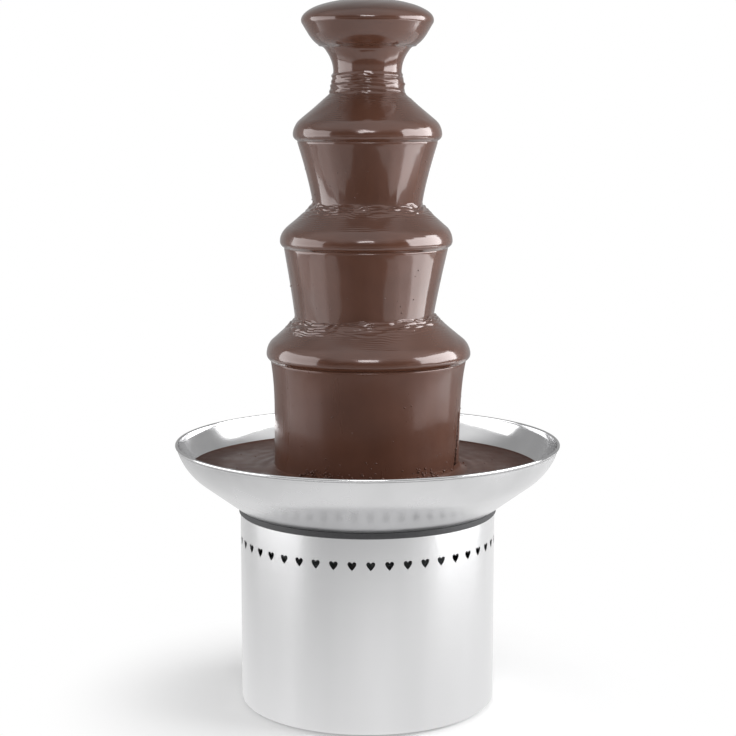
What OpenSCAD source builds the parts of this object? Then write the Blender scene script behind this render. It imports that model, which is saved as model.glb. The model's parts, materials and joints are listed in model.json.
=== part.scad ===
// Four-tier chocolate fountain: steel base, heated bowl, auger tower and running chocolate.
// Millimetres, +Z up, origin on the floor under the middle of the base, front towards -Y.

/* [Base] */
// Outer diameter of the base shell
base_d = 252.6; // [240:0.2:266]
// Height of the base shell
base_h = 190; // [170:1:215]
// Sheet thickness of the base shell
base_wall = 1; // [0.8:0.1:1.5]
// Radius of the rolled lower edge
base_edge_r = 3.5; // [2.5:0.25:6]
// Gap between the floor and the lower edge
foot_gap = 3; // [2:0.5:8]
// Width of the turned-in lower lip
lip_w = 16; // [14:1:22]
// Gap between the bowl's wall and the turned-in upper flange
flange_gap = 1.2; // [0.8:0.1:2]
// Thickness of the bottom plate
plate_t = 1.5; // [1:0.25:3]
// Diameter of the air holes in the bottom plate
air_hole_d = 6; // [4:0.5:8]
// Radius of the circle of air holes
air_circle_r = 62; // [50:1:70]
// Number of air holes
air_holes = 24; // [12:1:32]
// Number of bottom plate screws
plate_screw_count = 6; // [4:1:8]
// Thread diameter of the bottom plate and foot screws
screw_d = 4; // [3:0.5:5]
// Head diameter of those screws
screw_head_d = 7.4; // [6.5:0.1:8.5]
// Head height of those screws
screw_head_h = 1.6; // [1.2:0.1:1.9]
// Reach of those screws above the bottom plate
screw_reach = 4; // [2:0.5:8]
// Number of rubber feet
feet = 4; // [3:1:6]
// Diameter of a rubber foot
foot_d = 24; // [18:1:28]
// Radius of the circle that the feet stand on
foot_circle_r = 92; // [80:1:96]

/* [Air vents] */
// Number of heart-shaped vents
vents = 45; // [30:1:48]
// Width of a heart
vent_w = 8.4; // [6:0.2:10]
// Height of a heart
vent_h = 8.5; // [6:0.25:10]
// Fullness of a heart's sides, where 1 is straight
vent_belly = 1.6; // [1:0.1:2.4]
// Distance from the top of the shell down to the middle of the hearts
vent_drop = 26; // [20:0.5:45]
// Turn of the first heart away from the front
vent_turn = 1.4; // [0:0.1:8]

/* [Seal ring] */
// Stand-out of the seal ring from the base shell
ring_out = 1.5; // [0.5:0.1:3]
// Height of the seal ring at its outside
ring_h = 6; // [4:0.25:7]
// Bevel on the lower outer edge of the seal ring
ring_bevel = 1.2; // [0.5:0.1:2]

/* [Bowl] */
// Outer diameter of the bowl over its bead
bowl_d = 380; // [370:1:392]
// Sheet thickness of the bowl
bowl_wall = 1.2; // [1:0.1:1.6]
// Radius of the beaded rim
bead_r = 2.6; // [2:0.1:4]
// Slope of the wall just under the bead
rim_slope = 72; // [66:1:80]
// Slope of the straight part of the wall
wall_slope = 36.5; // [34:0.5:39]
// Radius of the bend under the bead
bowl_bend_r = 60; // [52:1:66]
// Depth of the bowl's underside below the top of the seal ring
bowl_sink = 9; // [8:0.25:11]
// Radius of the bend between wall and floor
bowl_toe_r = 20; // [12:1:28]

/* [Heater] */
// Inner diameter of the heater plate
heater_in_d = 60; // [56:1:76]
// Outer diameter of the heater plate
heater_d = 172; // [164:1:176]
// Thickness of the heater plate
heater_t = 6; // [4:0.5:9]
// Diameter of the heating tube
element_d = 6.4; // [5:0.2:8]
// Radius of the circle that the heating tube follows
element_circle_r = 58; // [54:0.5:60]
// Sweep of the heating tube
element_sweep = 320; // [280:5:335]
// Diameter of the heating tube's terminals
terminal_d = 5; // [4:0.2:5.6]
// Angle between a terminal and the end of the heating tube
terminal_turn = 7; // [6:0.5:12]
// Length of each heating tube terminal below the tube
terminal_h = 22; // [15:1:26]
// Thickness of the insulation pad
pad_t = 3.6; // [2:0.2:6]
// Sheet thickness of the heater pan
pan_t = 1; // [0.8:0.1:1.4]

/* [Stack on the studs] */
// Diameter of the studs under the bowl
stud_d = 5; // [4:0.5:6]
// Radius of the circle of studs
stud_circle_r = 76; // [74:0.5:80]
// Turn of the first stud
stud_turn = 20; // [15:1:25]
// Height of the spacers between pan and gearbox
standoff_h = 24; // [18:1:32]
// Across corners of the hexagonal spacers and nuts
hex_d = 10.4; // [9.5:0.1:12]
// Height of a stud nut
nut_h = 4; // [3:0.5:6]
// Thread left below a stud nut
stud_tail = 2.5; // [1:0.5:5]

/* [Gearbox] */
// Thickness of a gearbox plate
gear_plate_t = 2.5; // [2:0.25:4]
// Diameter of the gearbox plates
gear_plate_d = 172; // [166:1:184]
// Height of the room between the gearbox plates
gear_room = 20; // [19:0.5:24]
// Teeth of each pinion
pinion_teeth = 18; // [17:1:20]
// Teeth of each wheel
wheel_teeth = 72; // [70:1:74]
// Module of the fast pair, motor pinion to idler wheel
fast_module = 0.8; // [0.75:0.05:0.9]
// Module of the slow pair, idler pinion to output gear
slow_module = 1; // [0.95:0.05:1.05]
// Gap between the bottom plate and the slow wheel
gear_lift = 1; // [0.8:0.1:1.2]
// Gap between the slow and fast wheels
stage_gap = 2; // [1:0.25:3]
// Tooth depth inside the pitch circle, in modules
tooth_root = 1.2; // [1.15:0.05:1.3]
// Tooth height outside the pitch circle, in modules
tooth_tip = 0.9; // [0.8:0.05:1]
// Stand-out of the motor pinion beside its wheel
pinion_over = 0.5; // [0.25:0.05:1]
// Face width of the slow wheel
slow_face = 7; // [5:0.5:8]
// Face width of the fast wheel
fast_face = 5.5; // [4:0.5:6.5]
// Tooth thinning on each flank, so that meshed teeth run free
tooth_play = 0.06; // [0.03:0.01:0.1]
// Diameter of the idler axle and of the motor shaft
axle_d = 6; // [5:0.5:7]

/* [Motor] */
// Outer diameter of the motor can
motor_d = 54; // [48:1:60]
// Length of the motor can
motor_h = 54; // [46:1:64]
// Sheet thickness of the motor can
motor_wall = 1.5; // [1:0.1:2.5]
// Length of the stator and rotor stacks
stack_h = 30; // [20:1:34]
// Diameter of the rotor
rotor_d = 28; // [22:1:32]
// Air gap between rotor and stator
rotor_air = 0.6; // [0.4:0.1:1.5]
// Thickness of the motor's end cap
end_cap_t = 3; // [2:0.5:5]
// Diameter of the bearing bosses in the motor
boss_d = 14; // [12:0.5:18]
// Height of the bearing bosses in the motor
boss_h = 6; // [4:0.5:8]
// Distance of each motor screw from the motor's axis
motor_screw_r = 18; // [15:0.5:20]
// Thread diameter of the motor screws
motor_screw_d = 3; // [2.5:0.5:4]

/* [Output shaft and seal] */
// Diameter of the output shaft
shaft_d = 10; // [8:0.5:11]
// Reach of the output shaft below the gearbox
shaft_tail = 2; // [1:0.5:6]
// Reach of the output shaft above the bowl floor
shaft_rise = 24; // [20:1:30]
// Diameter of the sleeve that passes through the bowl floor
sleeve_d = 24; // [22:0.5:27]
// Diameter of the sleeve's flange inside the bowl
sleeve_flange_d = 36; // [32:0.5:40]
// Thickness of that flange
sleeve_flange_t = 3; // [2:0.5:4]
// Length of the sleeve below the bowl floor
sleeve_h = 15; // [13:0.5:20]
// Outer diameter of the bushes on the shaft
bush_d = 16; // [14.5:0.5:18]
// Outer diameter of the lip seal
lip_seal_d = 18; // [17:0.5:20]
// Height of the lip seal
lip_seal_h = 5; // [4:0.5:7]
// Across corners of the sleeve nut
sleeve_nut_d = 42; // [38:1:46]
// Height of the sleeve nut
sleeve_nut_h = 6; // [4:0.5:8]
// Diameter of the drive pin
drive_pin_d = 4; // [3:0.5:5]
// Height of the drive pin above the bowl floor
drive_pin_rise = 15; // [14:0.5:17]

/* [Auger] */
// Diameter of the auger's core
core_d = 18; // [16:0.5:20]
// Height of the auger's lower end above the bowl floor
auger_rise = 9; // [7:0.5:11]
// Reach of the auger above the end of the tube
auger_over = 4; // [0:0.5:8]
// Height of the flight's start above the auger's lower end
flight_lift = 3; // [0:0.5:6]
// Distance from one turn of the flight to the next
flight_pitch = 44; // [34:1:60]
// Thickness of the flight
flight_t = 2.4; // [1.6:0.2:4]
// Gap between the flight and the tube
flight_gap = 1; // [0.6:0.1:2]

/* [Tower] */
// Outer diameter of the tower tube
tube_d = 55; // [52:0.5:58]
// Wall of the tower tube
tube_wall = 1.2; // [1:0.1:2]
// Height of the tube's end above the upper tier's edge
tube_h = 84.5; // [80:0.5:92]
// Diameter of the tube's foot ring
foot_ring_d = 80; // [76:1:90]
// Thickness of the tube's foot ring
foot_ring_t = 2; // [1.5:0.25:4]
// Number of inlets at the foot of the tube
inlets = 4; // [3:1:5]
// Diameter of an inlet
inlet_d = 16; // [10:1:20]
// Number of locating pegs
pegs = 3; // [3:1:5]
// Diameter of a locating peg
peg_d = 6; // [4:0.5:7]
// Height of a locating peg
peg_h = 8; // [5:0.5:10]
// Sheet thickness of the tier dishes and the crown
dish_t = 1; // [0.8:0.1:1.4]
// Slope of the tier dishes
tier_slope = 40; // [36:1:44]
// Radius of the upper edge of a tier dish
tier_edge_r = 16; // [12:0.5:20]
// Radius of the lip under that edge
tier_lip_r = 4; // [3:0.25:5]
// Turn of that lip
lip_turn = 60; // [50:1:70]
// Height of the collar that holds a tier or the crown on the tube
collar_h = 14; // [10:0.5:18]
// Wall of that collar
collar_wall = 1.6; // [1.2:0.1:2.4]
// Height of the stop ring under each tier collar
stop_h = 3; // [2:0.5:5]
// Radial width of that stop ring
stop_w = 3; // [2:0.25:4]
// Diameter of the lower tier dish
lower_d = 196; // [188:1:204]
// Height of the lower tier's edge above the bowl floor
lower_h = 159.5; // [150:0.5:168]
// Diameter of the middle tier dish
middle_d = 164; // [156:1:172]
// Height of the middle tier's edge above the lower tier's edge
middle_h = 110.5; // [104:0.5:120]
// Diameter of the upper tier dish
upper_d = 140; // [134:1:148]
// Height of the upper tier's edge above the middle tier's edge
upper_h = 103; // [97:0.5:112]
// Diameter of the crown at its rim
crown_d = 122; // [114:1:130]
// Depth of the crown
crown_h = 20.5; // [17:0.5:26]
// Slope of the crown's wall
crown_slope = 55; // [48:1:62]

/* [Chocolate] */
// Thickness of the chocolate film on the steel
film_t = 2; // [1.4:0.1:3]
// Thickness of the falling curtains
curtain_t = 2; // [1.4:0.1:3]
// Distance from the middle of the bead down to the pool
pool_drop = 24; // [16:0.5:34]
// Height of the chocolate dome above its widest line on the crown
dome_h = 20.5; // [14:0.5:28]
// Depth of the curtain's first fold under an edge
fold_h = 8; // [6:0.5:11]
// Diameter of the lower curtain at its foot
lower_foot_d = 183; // [177:1:186]
// Diameter of the middle curtain at its foot
middle_foot_d = 135; // [128:1:142]
// Diameter of the upper curtain at its foot
upper_foot_d = 106; // [100:1:112]
// Diameter of the crown curtain at its foot
crown_foot_d = 69; // [67:1:76]
// Power by which the lower curtain draws in
lower_draw = 4.5; // [2:0.1:6]
// Power by which the middle curtain draws in
middle_draw = 1.15; // [1:0.05:2]
// Power by which the upper curtain draws in
upper_draw = 1.3; // [1:0.05:2]
// Power by which the crown curtain draws in
crown_draw = 2; // [1:0.1:3]
// Swell of the chocolate where a curtain lands
landing_swell = 1.4; // [0.5:0.1:3]
// Angle by which the film stops short of the end of the lip
film_short = 10; // [5:1:20]

/* [Controls] */
// Rise from the knob and switch row up to the middle of the hearts
control_rise = 60; // [54:1:66]
// Angle between the knob and each switch
switch_turn = 20; // [18:1:28]
// Diameter of the control knob
knob_d = 34; // [26:1:40]
// Height of the control knob
knob_h = 15; // [11:0.5:20]
// Gap between the base shell and the knob
knob_gap = 2.2; // [1.6:0.2:3]
// Number of grip flutes on the knob
knob_flutes = 18; // [12:1:24]
// Diameter of the dial plate
dial_d = 50; // [44:1:56]
// Thickness of the dial plate
dial_t = 0.8; // [0.5:0.1:1.2]
// Diameter of the thermostat's shaft
knob_shaft_d = 6; // [5:0.5:7]
// Diameter of the thermostat's threaded neck
neck_d = 10; // [9:0.5:12]
// Across corners of the neck nut
neck_nut_d = 16; // [14.5:0.5:18]
// Height of the neck nut
neck_nut_h = 2.5; // [2:0.25:3]
// Gap between the shell and the thermostat body
thermostat_gap = 2; // [1:0.5:4]
// Width of the thermostat body
thermostat_w = 30; // [24:1:36]
// Height of the thermostat body
thermostat_h = 40; // [32:1:48]
// Depth of the thermostat body
thermostat_deep = 20; // [16:1:26]
// Diameter of a switch flange
switch_d = 27; // [25.5:0.5:30]
// Diameter of a switch barrel
barrel_d = 21.6; // [21:0.2:23]
// Length of a switch barrel behind the shell
barrel_h = 20; // [14:1:26]
// Width of a rocker
rocker_w = 10; // [8:0.5:11]
// Radius of a rocker about its pivot
rocker_r = 8.4; // [7.5:0.1:8.8]
// Tilt of a rocker away from its middle
rocker_tilt = 8; // [5:0.5:10]
// Depth of a rocker's pivot behind the face of the shell
pivot_in = 2; // [1:0.25:3]
// Diameter of a rocker's pivot pins
pivot_d = 2.4; // [1.6:0.2:3]
// Height of the lamp above the knob's axis
lamp_rise = 38; // [34:1:44]
// Diameter of the lamp bezel
lamp_d = 12; // [10:0.5:14]
// Diameter of the lamp lens
lens_d = 8; // [6:0.5:9]
// Stand-out of the control flanges from the shell
flange_out = 2.2; // [1.6:0.1:3]
// Depth of the inlet's middle below the knob's axis
inlet_drop = 58; // [50:1:66]
// Width of the inlet's flange
inlet_flange_w = 32; // [30.5:0.5:36]
// Height of the inlet's flange
inlet_flange_h = 25; // [23:0.5:28]
// Width of the inlet's body
inlet_w = 27; // [26.5:0.5:29]
// Height of the inlet's body
inlet_h = 20; // [19.5:0.5:22]
// Depth of the inlet's body behind the shell
inlet_deep = 20; // [18:0.5:26]
// Width of the inlet's socket
socket_w = 24; // [23:0.5:25]
// Height of the inlet's socket
socket_h = 16.4; // [15.5:0.2:17]
// Thickness of the wall behind the socket
socket_floor = 3; // [2:0.5:5]
// Length of a contact pin in the socket
contact_l = 12; // [10:0.5:13]
// Width of a contact pin
contact_w = 4; // [3:0.25:4.5]
// Thickness of a contact pin
contact_t = 2; // [1.5:0.25:2.5]
// Spread of the outer contact pins
contact_spread = 14; // [12:0.5:15]
// Height of the middle contact pin above the outer ones
contact_rise = 4; // [2:0.5:5]
// Length of a contact's tail behind the inlet
contact_tail = 7; // [5:0.5:10]

/* [Fits] */
// Gap between fixed pieces that seat on each other
seat_gap = 0.2; // [0.1:0.05:0.3]
// Radial running clearance of turning shafts and pins
run_gap = 0.05; // [0.02:0.01:0.08]
// Radial clearance of a hole round a fixed fastener
hole_gap = 0.25; // [0.15:0.05:0.5]
// Gap between chocolate and steel
film_gap = 0.3; // [0.2:0.05:0.5]
// Gap beside and behind moving pieces
end_gap = 0.4; // [0.3:0.05:0.6]

/* [Hidden] */
$fn = 96;
cut = 1; // overrun of a cutting shape past the face that it opens

steel = "#d4d6d8";
satin_steel = "#c4c6c9";
zinc = "#a9adb2";
black = "#26262a";
copper = "#b8703c";
chocolate = "#4f342c";

// Base levels and radii
base_r = base_d/2;
base_bottom = foot_gap;
base_top = base_bottom + base_h;
plate_z = base_bottom + base_wall;
plate_r = base_r - base_edge_r - seat_gap;
plate_top = plate_z + plate_t;
lip_r = base_r - lip_w;
screw_circle_r = base_r - (lip_w + base_edge_r)/2;
vent_z = base_top - vent_drop;

// Start and end of the rolled bead, as angles about its middle
bead_from = -65;
bead_to = 245;

// Bowl: its straight wall rests on the seal ring, its bend and bead follow from there
ring_r = base_r + ring_out;
ring_top = base_top + ring_h;
wall_seat = ring_top + seat_gap/cos(wall_slope);
function wall_z(r) = wall_seat + (r - ring_r)*tan(wall_slope);
function wall_at(z) = ring_r + (z - wall_seat)/tan(wall_slope);
bead_x = bowl_d/2 - bead_r;
wall_end = [bead_x + bowl_wall/2, -bead_r];
bend_c = wall_end + bowl_bend_r*[-sin(rim_slope), cos(rim_slope)];
bend_end = bend_c + bowl_bend_r*[sin(wall_slope), -cos(wall_slope)];
bead_z = wall_z(bend_end[0]) - bend_end[1];
bowl_under = ring_top - bowl_sink;
toe_x = wall_at(bowl_under) - bowl_toe_r*tan(wall_slope/2);
floor_z = bowl_under + bowl_wall;
flange_r = wall_at(base_top) + flange_gap;
pool_z = bead_z - pool_drop;

// Heater and gearbox stack, downwards from the bowl
heater_z = bowl_under - seat_gap - heater_t;
element_z = heater_z - seat_gap - element_d/2;
pad_z = element_z - element_d/2 - seat_gap - pad_t;
pan_z = pad_z - seat_gap - pan_t;
top_plate_z = pan_z - standoff_h - gear_plate_t;
room_z = top_plate_z - gear_room;
bottom_plate_z = room_z - gear_plate_t;
nut_z = bottom_plate_z - nut_h;
pan_top = base_top - base_wall;
pan_in_r = wall_at(pan_top) + hole_gap;
pan_r = pan_in_r + pan_t;
pan_flange_r = base_r - base_wall - hole_gap;
stud_r = stud_d/2;
stud_hole_r = stud_r + hole_gap;
shaft_hole_r = sleeve_d/2;

// Gear train
slow_centre = slow_module*(pinion_teeth + wheel_teeth)/2;
fast_centre = fast_module*(pinion_teeth + wheel_teeth)/2;
idler_at = [-slow_centre, 0];
motor_at = [-slow_centre, fast_centre];
axle_r = axle_d/2;
slow_z = room_z + gear_lift;
slow_top = slow_z + slow_face;
fast_z = slow_top + stage_gap;
fast_top = fast_z + fast_face;
pressure = 20;
half_tooth_pitch = 180/pinion_teeth;

// Motor
motor_r = motor_d/2;
motor_top = bottom_plate_z;
motor_z = motor_top - motor_h;
stack_z = motor_z + (motor_h - stack_h)/2;
motor_bore_r = motor_r - motor_wall;

// Shaft, seal, tier levels and auger
shaft_r = shaft_d/2;
shaft_low = bottom_plate_z - shaft_tail;
shaft_top = floor_z + shaft_rise;
sleeve_low = bowl_under - sleeve_h;
lip_seal_z = floor_z + sleeve_flange_t - lip_seal_h;
bush_r = bush_d/2;
drive_pin_z = floor_z + drive_pin_rise;
core_r = core_d/2;
core_z = floor_z + auger_rise;
lower_z = floor_z + lower_h;
middle_z = lower_z + middle_h;
upper_z = middle_z + upper_h;
tube_r = tube_d/2;
bore_r = tube_r - tube_wall;
tube_top = upper_z + tube_h;
auger_top = tube_top + auger_over;
flight_r = bore_r - flight_gap;
flight_in_r = core_r + seat_gap/2;
flight_z = core_z + flight_lift;
flight_steps = 24;

// Tower
collar_r = tube_r + seat_gap + collar_wall;
tier_normal = 90 - tier_slope;
film_off = film_gap + film_t;
film_turn = lip_turn - film_short;
peg_circle_r = (tube_r + foot_ring_d/2)/2;
crown_run = crown_h/tan(crown_slope);
crown_rim_z = tube_top + crown_h;
crown_floor_r = crown_d/2 - crown_run;
crown_wall_w = dish_t/sin(crown_slope);
crown_film_w = film_off/sin(crown_slope);
crown_gap_w = film_gap/sin(crown_slope);
dome_r = crown_d/2 + crown_film_w;
dome_lip_r = tier_lip_r + film_off;
dome_z = crown_rim_z + dome_lip_r*cos(crown_slope);

// Rear controls: their own frame has +Y out of the shell
control_z = vent_z - control_rise;
lamp_z = control_z + lamp_rise;
inlet_z = control_z - inlet_drop;
knob_y = base_r + knob_gap;
knob_bore = knob_h*0.7;
thermostat_front = base_r - base_wall - thermostat_gap;
pivot_y = base_r - pivot_in;
pivot_r = pivot_d/2;
barrel_r = barrel_d/2;
rocker_room = rocker_r + end_gap;
socket_y = base_r - inlet_deep + socket_floor;

function reverse(list) = [for (i = [len(list) - 1 : -1 : 0]) list[i]];
function arc(c, r, a0, a1, n) =
    [for (i = [0 : n]) c + r*[cos(a0 + (a1 - a0)*i/n), sin(a0 + (a1 - a0)*i/n)]];

// Bowl outline, moved off millimetres inwards from its outer face
function bowl_path(off) = concat(
    arc([toe_x, bowl_under + bowl_toe_r], bowl_toe_r - off, -90, wall_slope - 90, 5),
    arc(bend_c + [0, bead_z], bowl_bend_r - off, wall_slope - 90, rim_slope - 90, 8));

// Tier outline, moved off millimetres outwards from the steel
function cone_start(r, z, off) =
    [r - tier_edge_r, z] + (tier_edge_r + off)*[cos(tier_normal), sin(tier_normal)];
function cone_z(r, z, off, at) =
    cone_start(r, z, off)[1] + (cone_start(r, z, off)[0] - at)*tan(tier_slope);
function dome_path(r, z, off, from_r, turn) = concat(
    [[from_r, cone_z(r, z, off, from_r)]],
    arc([r - tier_edge_r, z], tier_edge_r + off, tier_normal, 0, 6),
    [for (i = [1 : 5]) [r - tier_lip_r, z] + (tier_lip_r + off)*[cos(turn*i/5), -sin(turn*i/5)]]);

// Falling curtain between two levels, drawn in by the given power, with a swell at its foot
function curtain(r0, z0, r1, z1, power) = [for (i = [0 : 12]) let (s = i/12)
    [r1 + (r0 - r1)*pow(1 - s, power) + landing_swell*pow(s, 12), z0 + (z1 - z0)*s]];

// Involute gear outline
function roll(a) = tan(a)*180/PI - a;
function flank_angle(r, teeth, m) = let (
    pitch_r = m*teeth/2,
    root = pitch_r*cos(pressure),
    thin = tooth_play/pitch_r*180/PI)
    90/teeth - thin + roll(pressure) - roll(acos(min(1, root/r)));
function polar(r, a) = r*[cos(a), sin(a)];
function gear_outline(teeth, m, turn) = let (
    pitch_r = m*teeth/2,
    root_r = pitch_r - tooth_root*m,
    tip_r = pitch_r + tooth_tip*m,
    radii = [for (i = [0 : 3]) root_r + (tip_r - root_r)*i/3])
    [for (t = [0 : teeth - 1]) each concat(
        [for (r = radii) polar(r, turn + t*360/teeth - flank_angle(r, teeth, m))],
        [for (r = reverse(radii)) polar(r, turn + t*360/teeth + flank_angle(r, teeth, m))])];

module ring_between(r_in, r_out, z, h) {
    translate([0, 0, z]) difference() {
        cylinder(r = r_out, h = h);
        translate([0, 0, -cut]) cylinder(r = r_in, h = h + 2*cut);
    }
}

module hole(r, z, h) {
    translate([0, 0, z - cut]) cylinder(r = r, h = h + 2*cut);
}

module at_studs() {
    for (i = [0 : 3]) rotate(stud_turn + 90*i) translate([stud_circle_r, 0]) children();
}

module at_plate_screws() {
    for (i = [0 : plate_screw_count - 1]) rotate((i + 0.5)*360/plate_screw_count)
        translate([screw_circle_r, 0]) children();
}

module at_feet() {
    for (i = [0 : feet - 1]) rotate((i + 0.5)*360/feet) translate([foot_circle_r, 0]) children();
}

module at_motor_screws() {
    for (side = [-1, 1]) translate(motor_at + [side*motor_screw_r, 0]) children();
}

// Turns a shape drawn along Z so that it points out of the back, along +Y
module outwards(y, z) {
    translate([0, y, z]) rotate([-90, 0, 0]) children();
}

// Casing

module heart() {
    lobe = vent_w/4;
    low = lobe - vent_h;
    half = concat(
        [for (a = [180 : -30 : 0]) [lobe + lobe*cos(a), lobe*sin(a)]],
        [for (i = [1 : 5]) [2*lobe*(1 - pow(i/6, vent_belly)), low*i/6]]);
    other = [for (i = [len(half) - 1 : -1 : 1]) [-half[i][0], half[i][1]]];
    translate([0, vent_h/2 - lobe]) polygon(concat(half, [[0, low]], other));
}

module shell_cuts() {
    for (i = [0 : vents - 1]) rotate(vent_turn + i*360/vents)
        translate([0, 2*cut - base_r, vent_z]) rotate([90, 0, 0])
            linear_extrude(4*cut) heart();
    outwards(base_r - base_wall - cut, control_z) cylinder(r = neck_d/2 + hole_gap, h = base_wall + 2*cut);
    outwards(base_r - base_wall - cut, lamp_z) cylinder(r = lens_d/2 + hole_gap, h = base_wall + 2*cut);
    for (side = [-1, 1]) rotate(side*switch_turn)
        outwards(base_r - base_wall - cut, control_z)
            cylinder(r = barrel_r + hole_gap, h = base_wall + 2*cut);
    translate([-inlet_w/2 - hole_gap, base_r - base_wall - 2*cut, inlet_z - inlet_h/2 - hole_gap])
        cube([inlet_w + 2*hole_gap, base_wall + 4*cut, inlet_h + 2*hole_gap]);
    at_plate_screws() hole(screw_d/2 + hole_gap, base_bottom, base_wall);
}

module base_shell() {
    edge_c = [base_r - base_edge_r, base_bottom + base_edge_r];
    color(steel) difference() {
        rotate_extrude() polygon(concat(
            [[lip_r, base_bottom]],
            arc(edge_c, base_edge_r, -90, 0, 6),
            [[base_r, base_top], [flange_r, base_top], [flange_r, base_top - base_wall],
             [base_r - base_wall, base_top - base_wall]],
            arc(edge_c, base_edge_r - base_wall, 0, -90, 6),
            [[lip_r, base_bottom + base_wall]]));
        shell_cuts();
    }
}

module base_plate() {
    color(zinc) difference() {
        translate([0, 0, plate_z]) cylinder(r = plate_r, h = plate_t);
        at_plate_screws() hole(screw_d/2 + run_gap, plate_z, plate_t);
        at_feet() hole(screw_d/2 + run_gap, plate_z, plate_t);
        for (i = [0 : air_holes - 1]) rotate(i*360/air_holes) translate([air_circle_r, 0])
            hole(air_hole_d/2, plate_z, plate_t);
    }
}

module screw_from_below(head_top, reach) {
    translate([0, 0, head_top - screw_head_h]) cylinder(d = screw_head_d, h = screw_head_h);
    translate([0, 0, head_top - cut/2]) cylinder(d = screw_d, h = reach + cut/2);
}

module plate_screws() {
    color(zinc) at_plate_screws() screw_from_below(base_bottom, plate_top - base_bottom + screw_reach);
}

module rubber_feet() {
    seat = plate_z - screw_head_h;
    color(black) at_feet() difference() {
        cylinder(d = foot_d, h = plate_z);
        translate([0, 0, -cut]) cylinder(d = screw_head_d + 2*hole_gap, h = seat - seat_gap + cut);
        hole(screw_d/2 + hole_gap, 0, plate_z);
    }
}

module foot_screws() {
    seat = plate_z - screw_head_h - seat_gap;
    color(zinc) at_feet() screw_from_below(seat, plate_top - seat + screw_reach);
}

module seal_ring() {
    inner_top = ring_top - (ring_r - flange_r)*tan(wall_slope);
    color(black) rotate_extrude() polygon([
        [flange_r, base_top], [ring_r - ring_bevel, base_top], [ring_r, base_top + ring_bevel],
        [ring_r, ring_top], [flange_r, inner_top]]);
}

// Bowl and heating

module bowl() {
    hub_r = sleeve_d/2 + hole_gap;
    color(steel) rotate_extrude() polygon(concat(
        [[hub_r, bowl_under]], bowl_path(0), arc([bead_x, bead_z], bead_r, bead_from, bead_to, 14),
        reverse(bowl_path(bowl_wall)), [[hub_r, floor_z]]));
}

module bowl_studs() {
    color(zinc) at_studs() translate([0, 0, nut_z - stud_tail])
        cylinder(r = stud_r, h = bowl_under - nut_z + stud_tail);
}

module hex_sleeve(z, h) {
    translate([0, 0, z]) difference() {
        cylinder(d = hex_d, h = h, $fn = 6);
        translate([0, 0, -cut]) cylinder(r = stud_r + run_gap, h = h + 2*cut);
    }
}

module stud_nuts() {
    color(zinc) at_studs() hex_sleeve(nut_z, nut_h);
}

module stud_spacers() {
    color(zinc) at_studs() {
        hex_sleeve(top_plate_z + gear_plate_t, standoff_h);
        hex_sleeve(room_z, gear_room);
    }
}

module heater_plate() {
    color(satin_steel) difference() {
        ring_between(heater_in_d/2, heater_d/2, heater_z, heater_t);
        at_studs() hole(stud_hole_r, heater_z, heater_t);
    }
}

// Places the heating tube with its open side to the front
module element_turn() {
    rotate(-90 + (360 - element_sweep)/2) children();
}

module element_terminals(r, z, h) {
    element_turn() for (a = [terminal_turn, element_sweep - terminal_turn])
        rotate(a) translate([element_circle_r, 0, z]) cylinder(r = r, h = h);
}

module heater_element() {
    color(satin_steel) union() {
        element_turn() rotate_extrude(angle = element_sweep)
            translate([element_circle_r, element_z]) circle(d = element_d);
        element_terminals(terminal_d/2, element_z - terminal_h, terminal_h);
    }
}

module insulation_pad() {
    color("#e6e1d2") difference() {
        ring_between(heater_in_d/2, pan_in_r - seat_gap, pad_z, pad_t);
        at_studs() hole(stud_hole_r, pad_z, pad_t);
        element_terminals(terminal_d/2 + hole_gap, pad_z - cut, pad_t + 2*cut);
    }
}

module heater_pan() {
    color(satin_steel) difference() {
        rotate_extrude() polygon([
            [shaft_hole_r, pan_z], [pan_r, pan_z], [pan_r, pan_top - pan_t],
            [pan_flange_r, pan_top - pan_t], [pan_flange_r, pan_top], [pan_in_r, pan_top],
            [pan_in_r, pan_z + pan_t], [shaft_hole_r, pan_z + pan_t]]);
        at_studs() hole(stud_hole_r, pan_z, pan_t);
        element_terminals(terminal_d/2 + hole_gap, pan_z - cut, pan_t + 2*cut);
    }
}

module seal_housing() {
    color(steel) difference() {
        union() {
            translate([0, 0, sleeve_low]) cylinder(d = sleeve_d, h = floor_z - sleeve_low + cut);
            translate([0, 0, floor_z]) cylinder(d = sleeve_flange_d, h = sleeve_flange_t);
        }
        hole(bush_r + seat_gap, sleeve_low, floor_z + sleeve_flange_t - sleeve_low);
        translate([0, 0, lip_seal_z]) cylinder(d = lip_seal_d + 2*seat_gap, h = lip_seal_h + cut);
    }
}

module seal_nut() {
    z = bowl_under - sleeve_nut_h;
    color(zinc) translate([0, 0, z]) difference() {
        cylinder(d = sleeve_nut_d, h = sleeve_nut_h, $fn = 6);
        translate([0, 0, -cut]) cylinder(d = sleeve_d + 2*run_gap, h = sleeve_nut_h + 2*cut);
    }
}

module lip_seal() {
    color(black) ring_between(shaft_r + run_gap, lip_seal_d/2, lip_seal_z + seat_gap, lip_seal_h - seat_gap);
}

module shaft_bush() {
    color("#b98b4a") ring_between(shaft_r + run_gap, bush_r, sleeve_low, lip_seal_z - sleeve_low);
}

// Gearbox

module gear_plate(z) {
    translate([0, 0, z]) cylinder(d = gear_plate_d, h = gear_plate_t);
}

module gearbox_top_plate() {
    color(zinc) difference() {
        gear_plate(top_plate_z);
        at_studs() hole(stud_hole_r, top_plate_z, gear_plate_t);
        hole(bush_r + run_gap, top_plate_z, gear_plate_t);
        translate(idler_at) hole(axle_r + run_gap, top_plate_z, gear_plate_t);
    }
}

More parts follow.
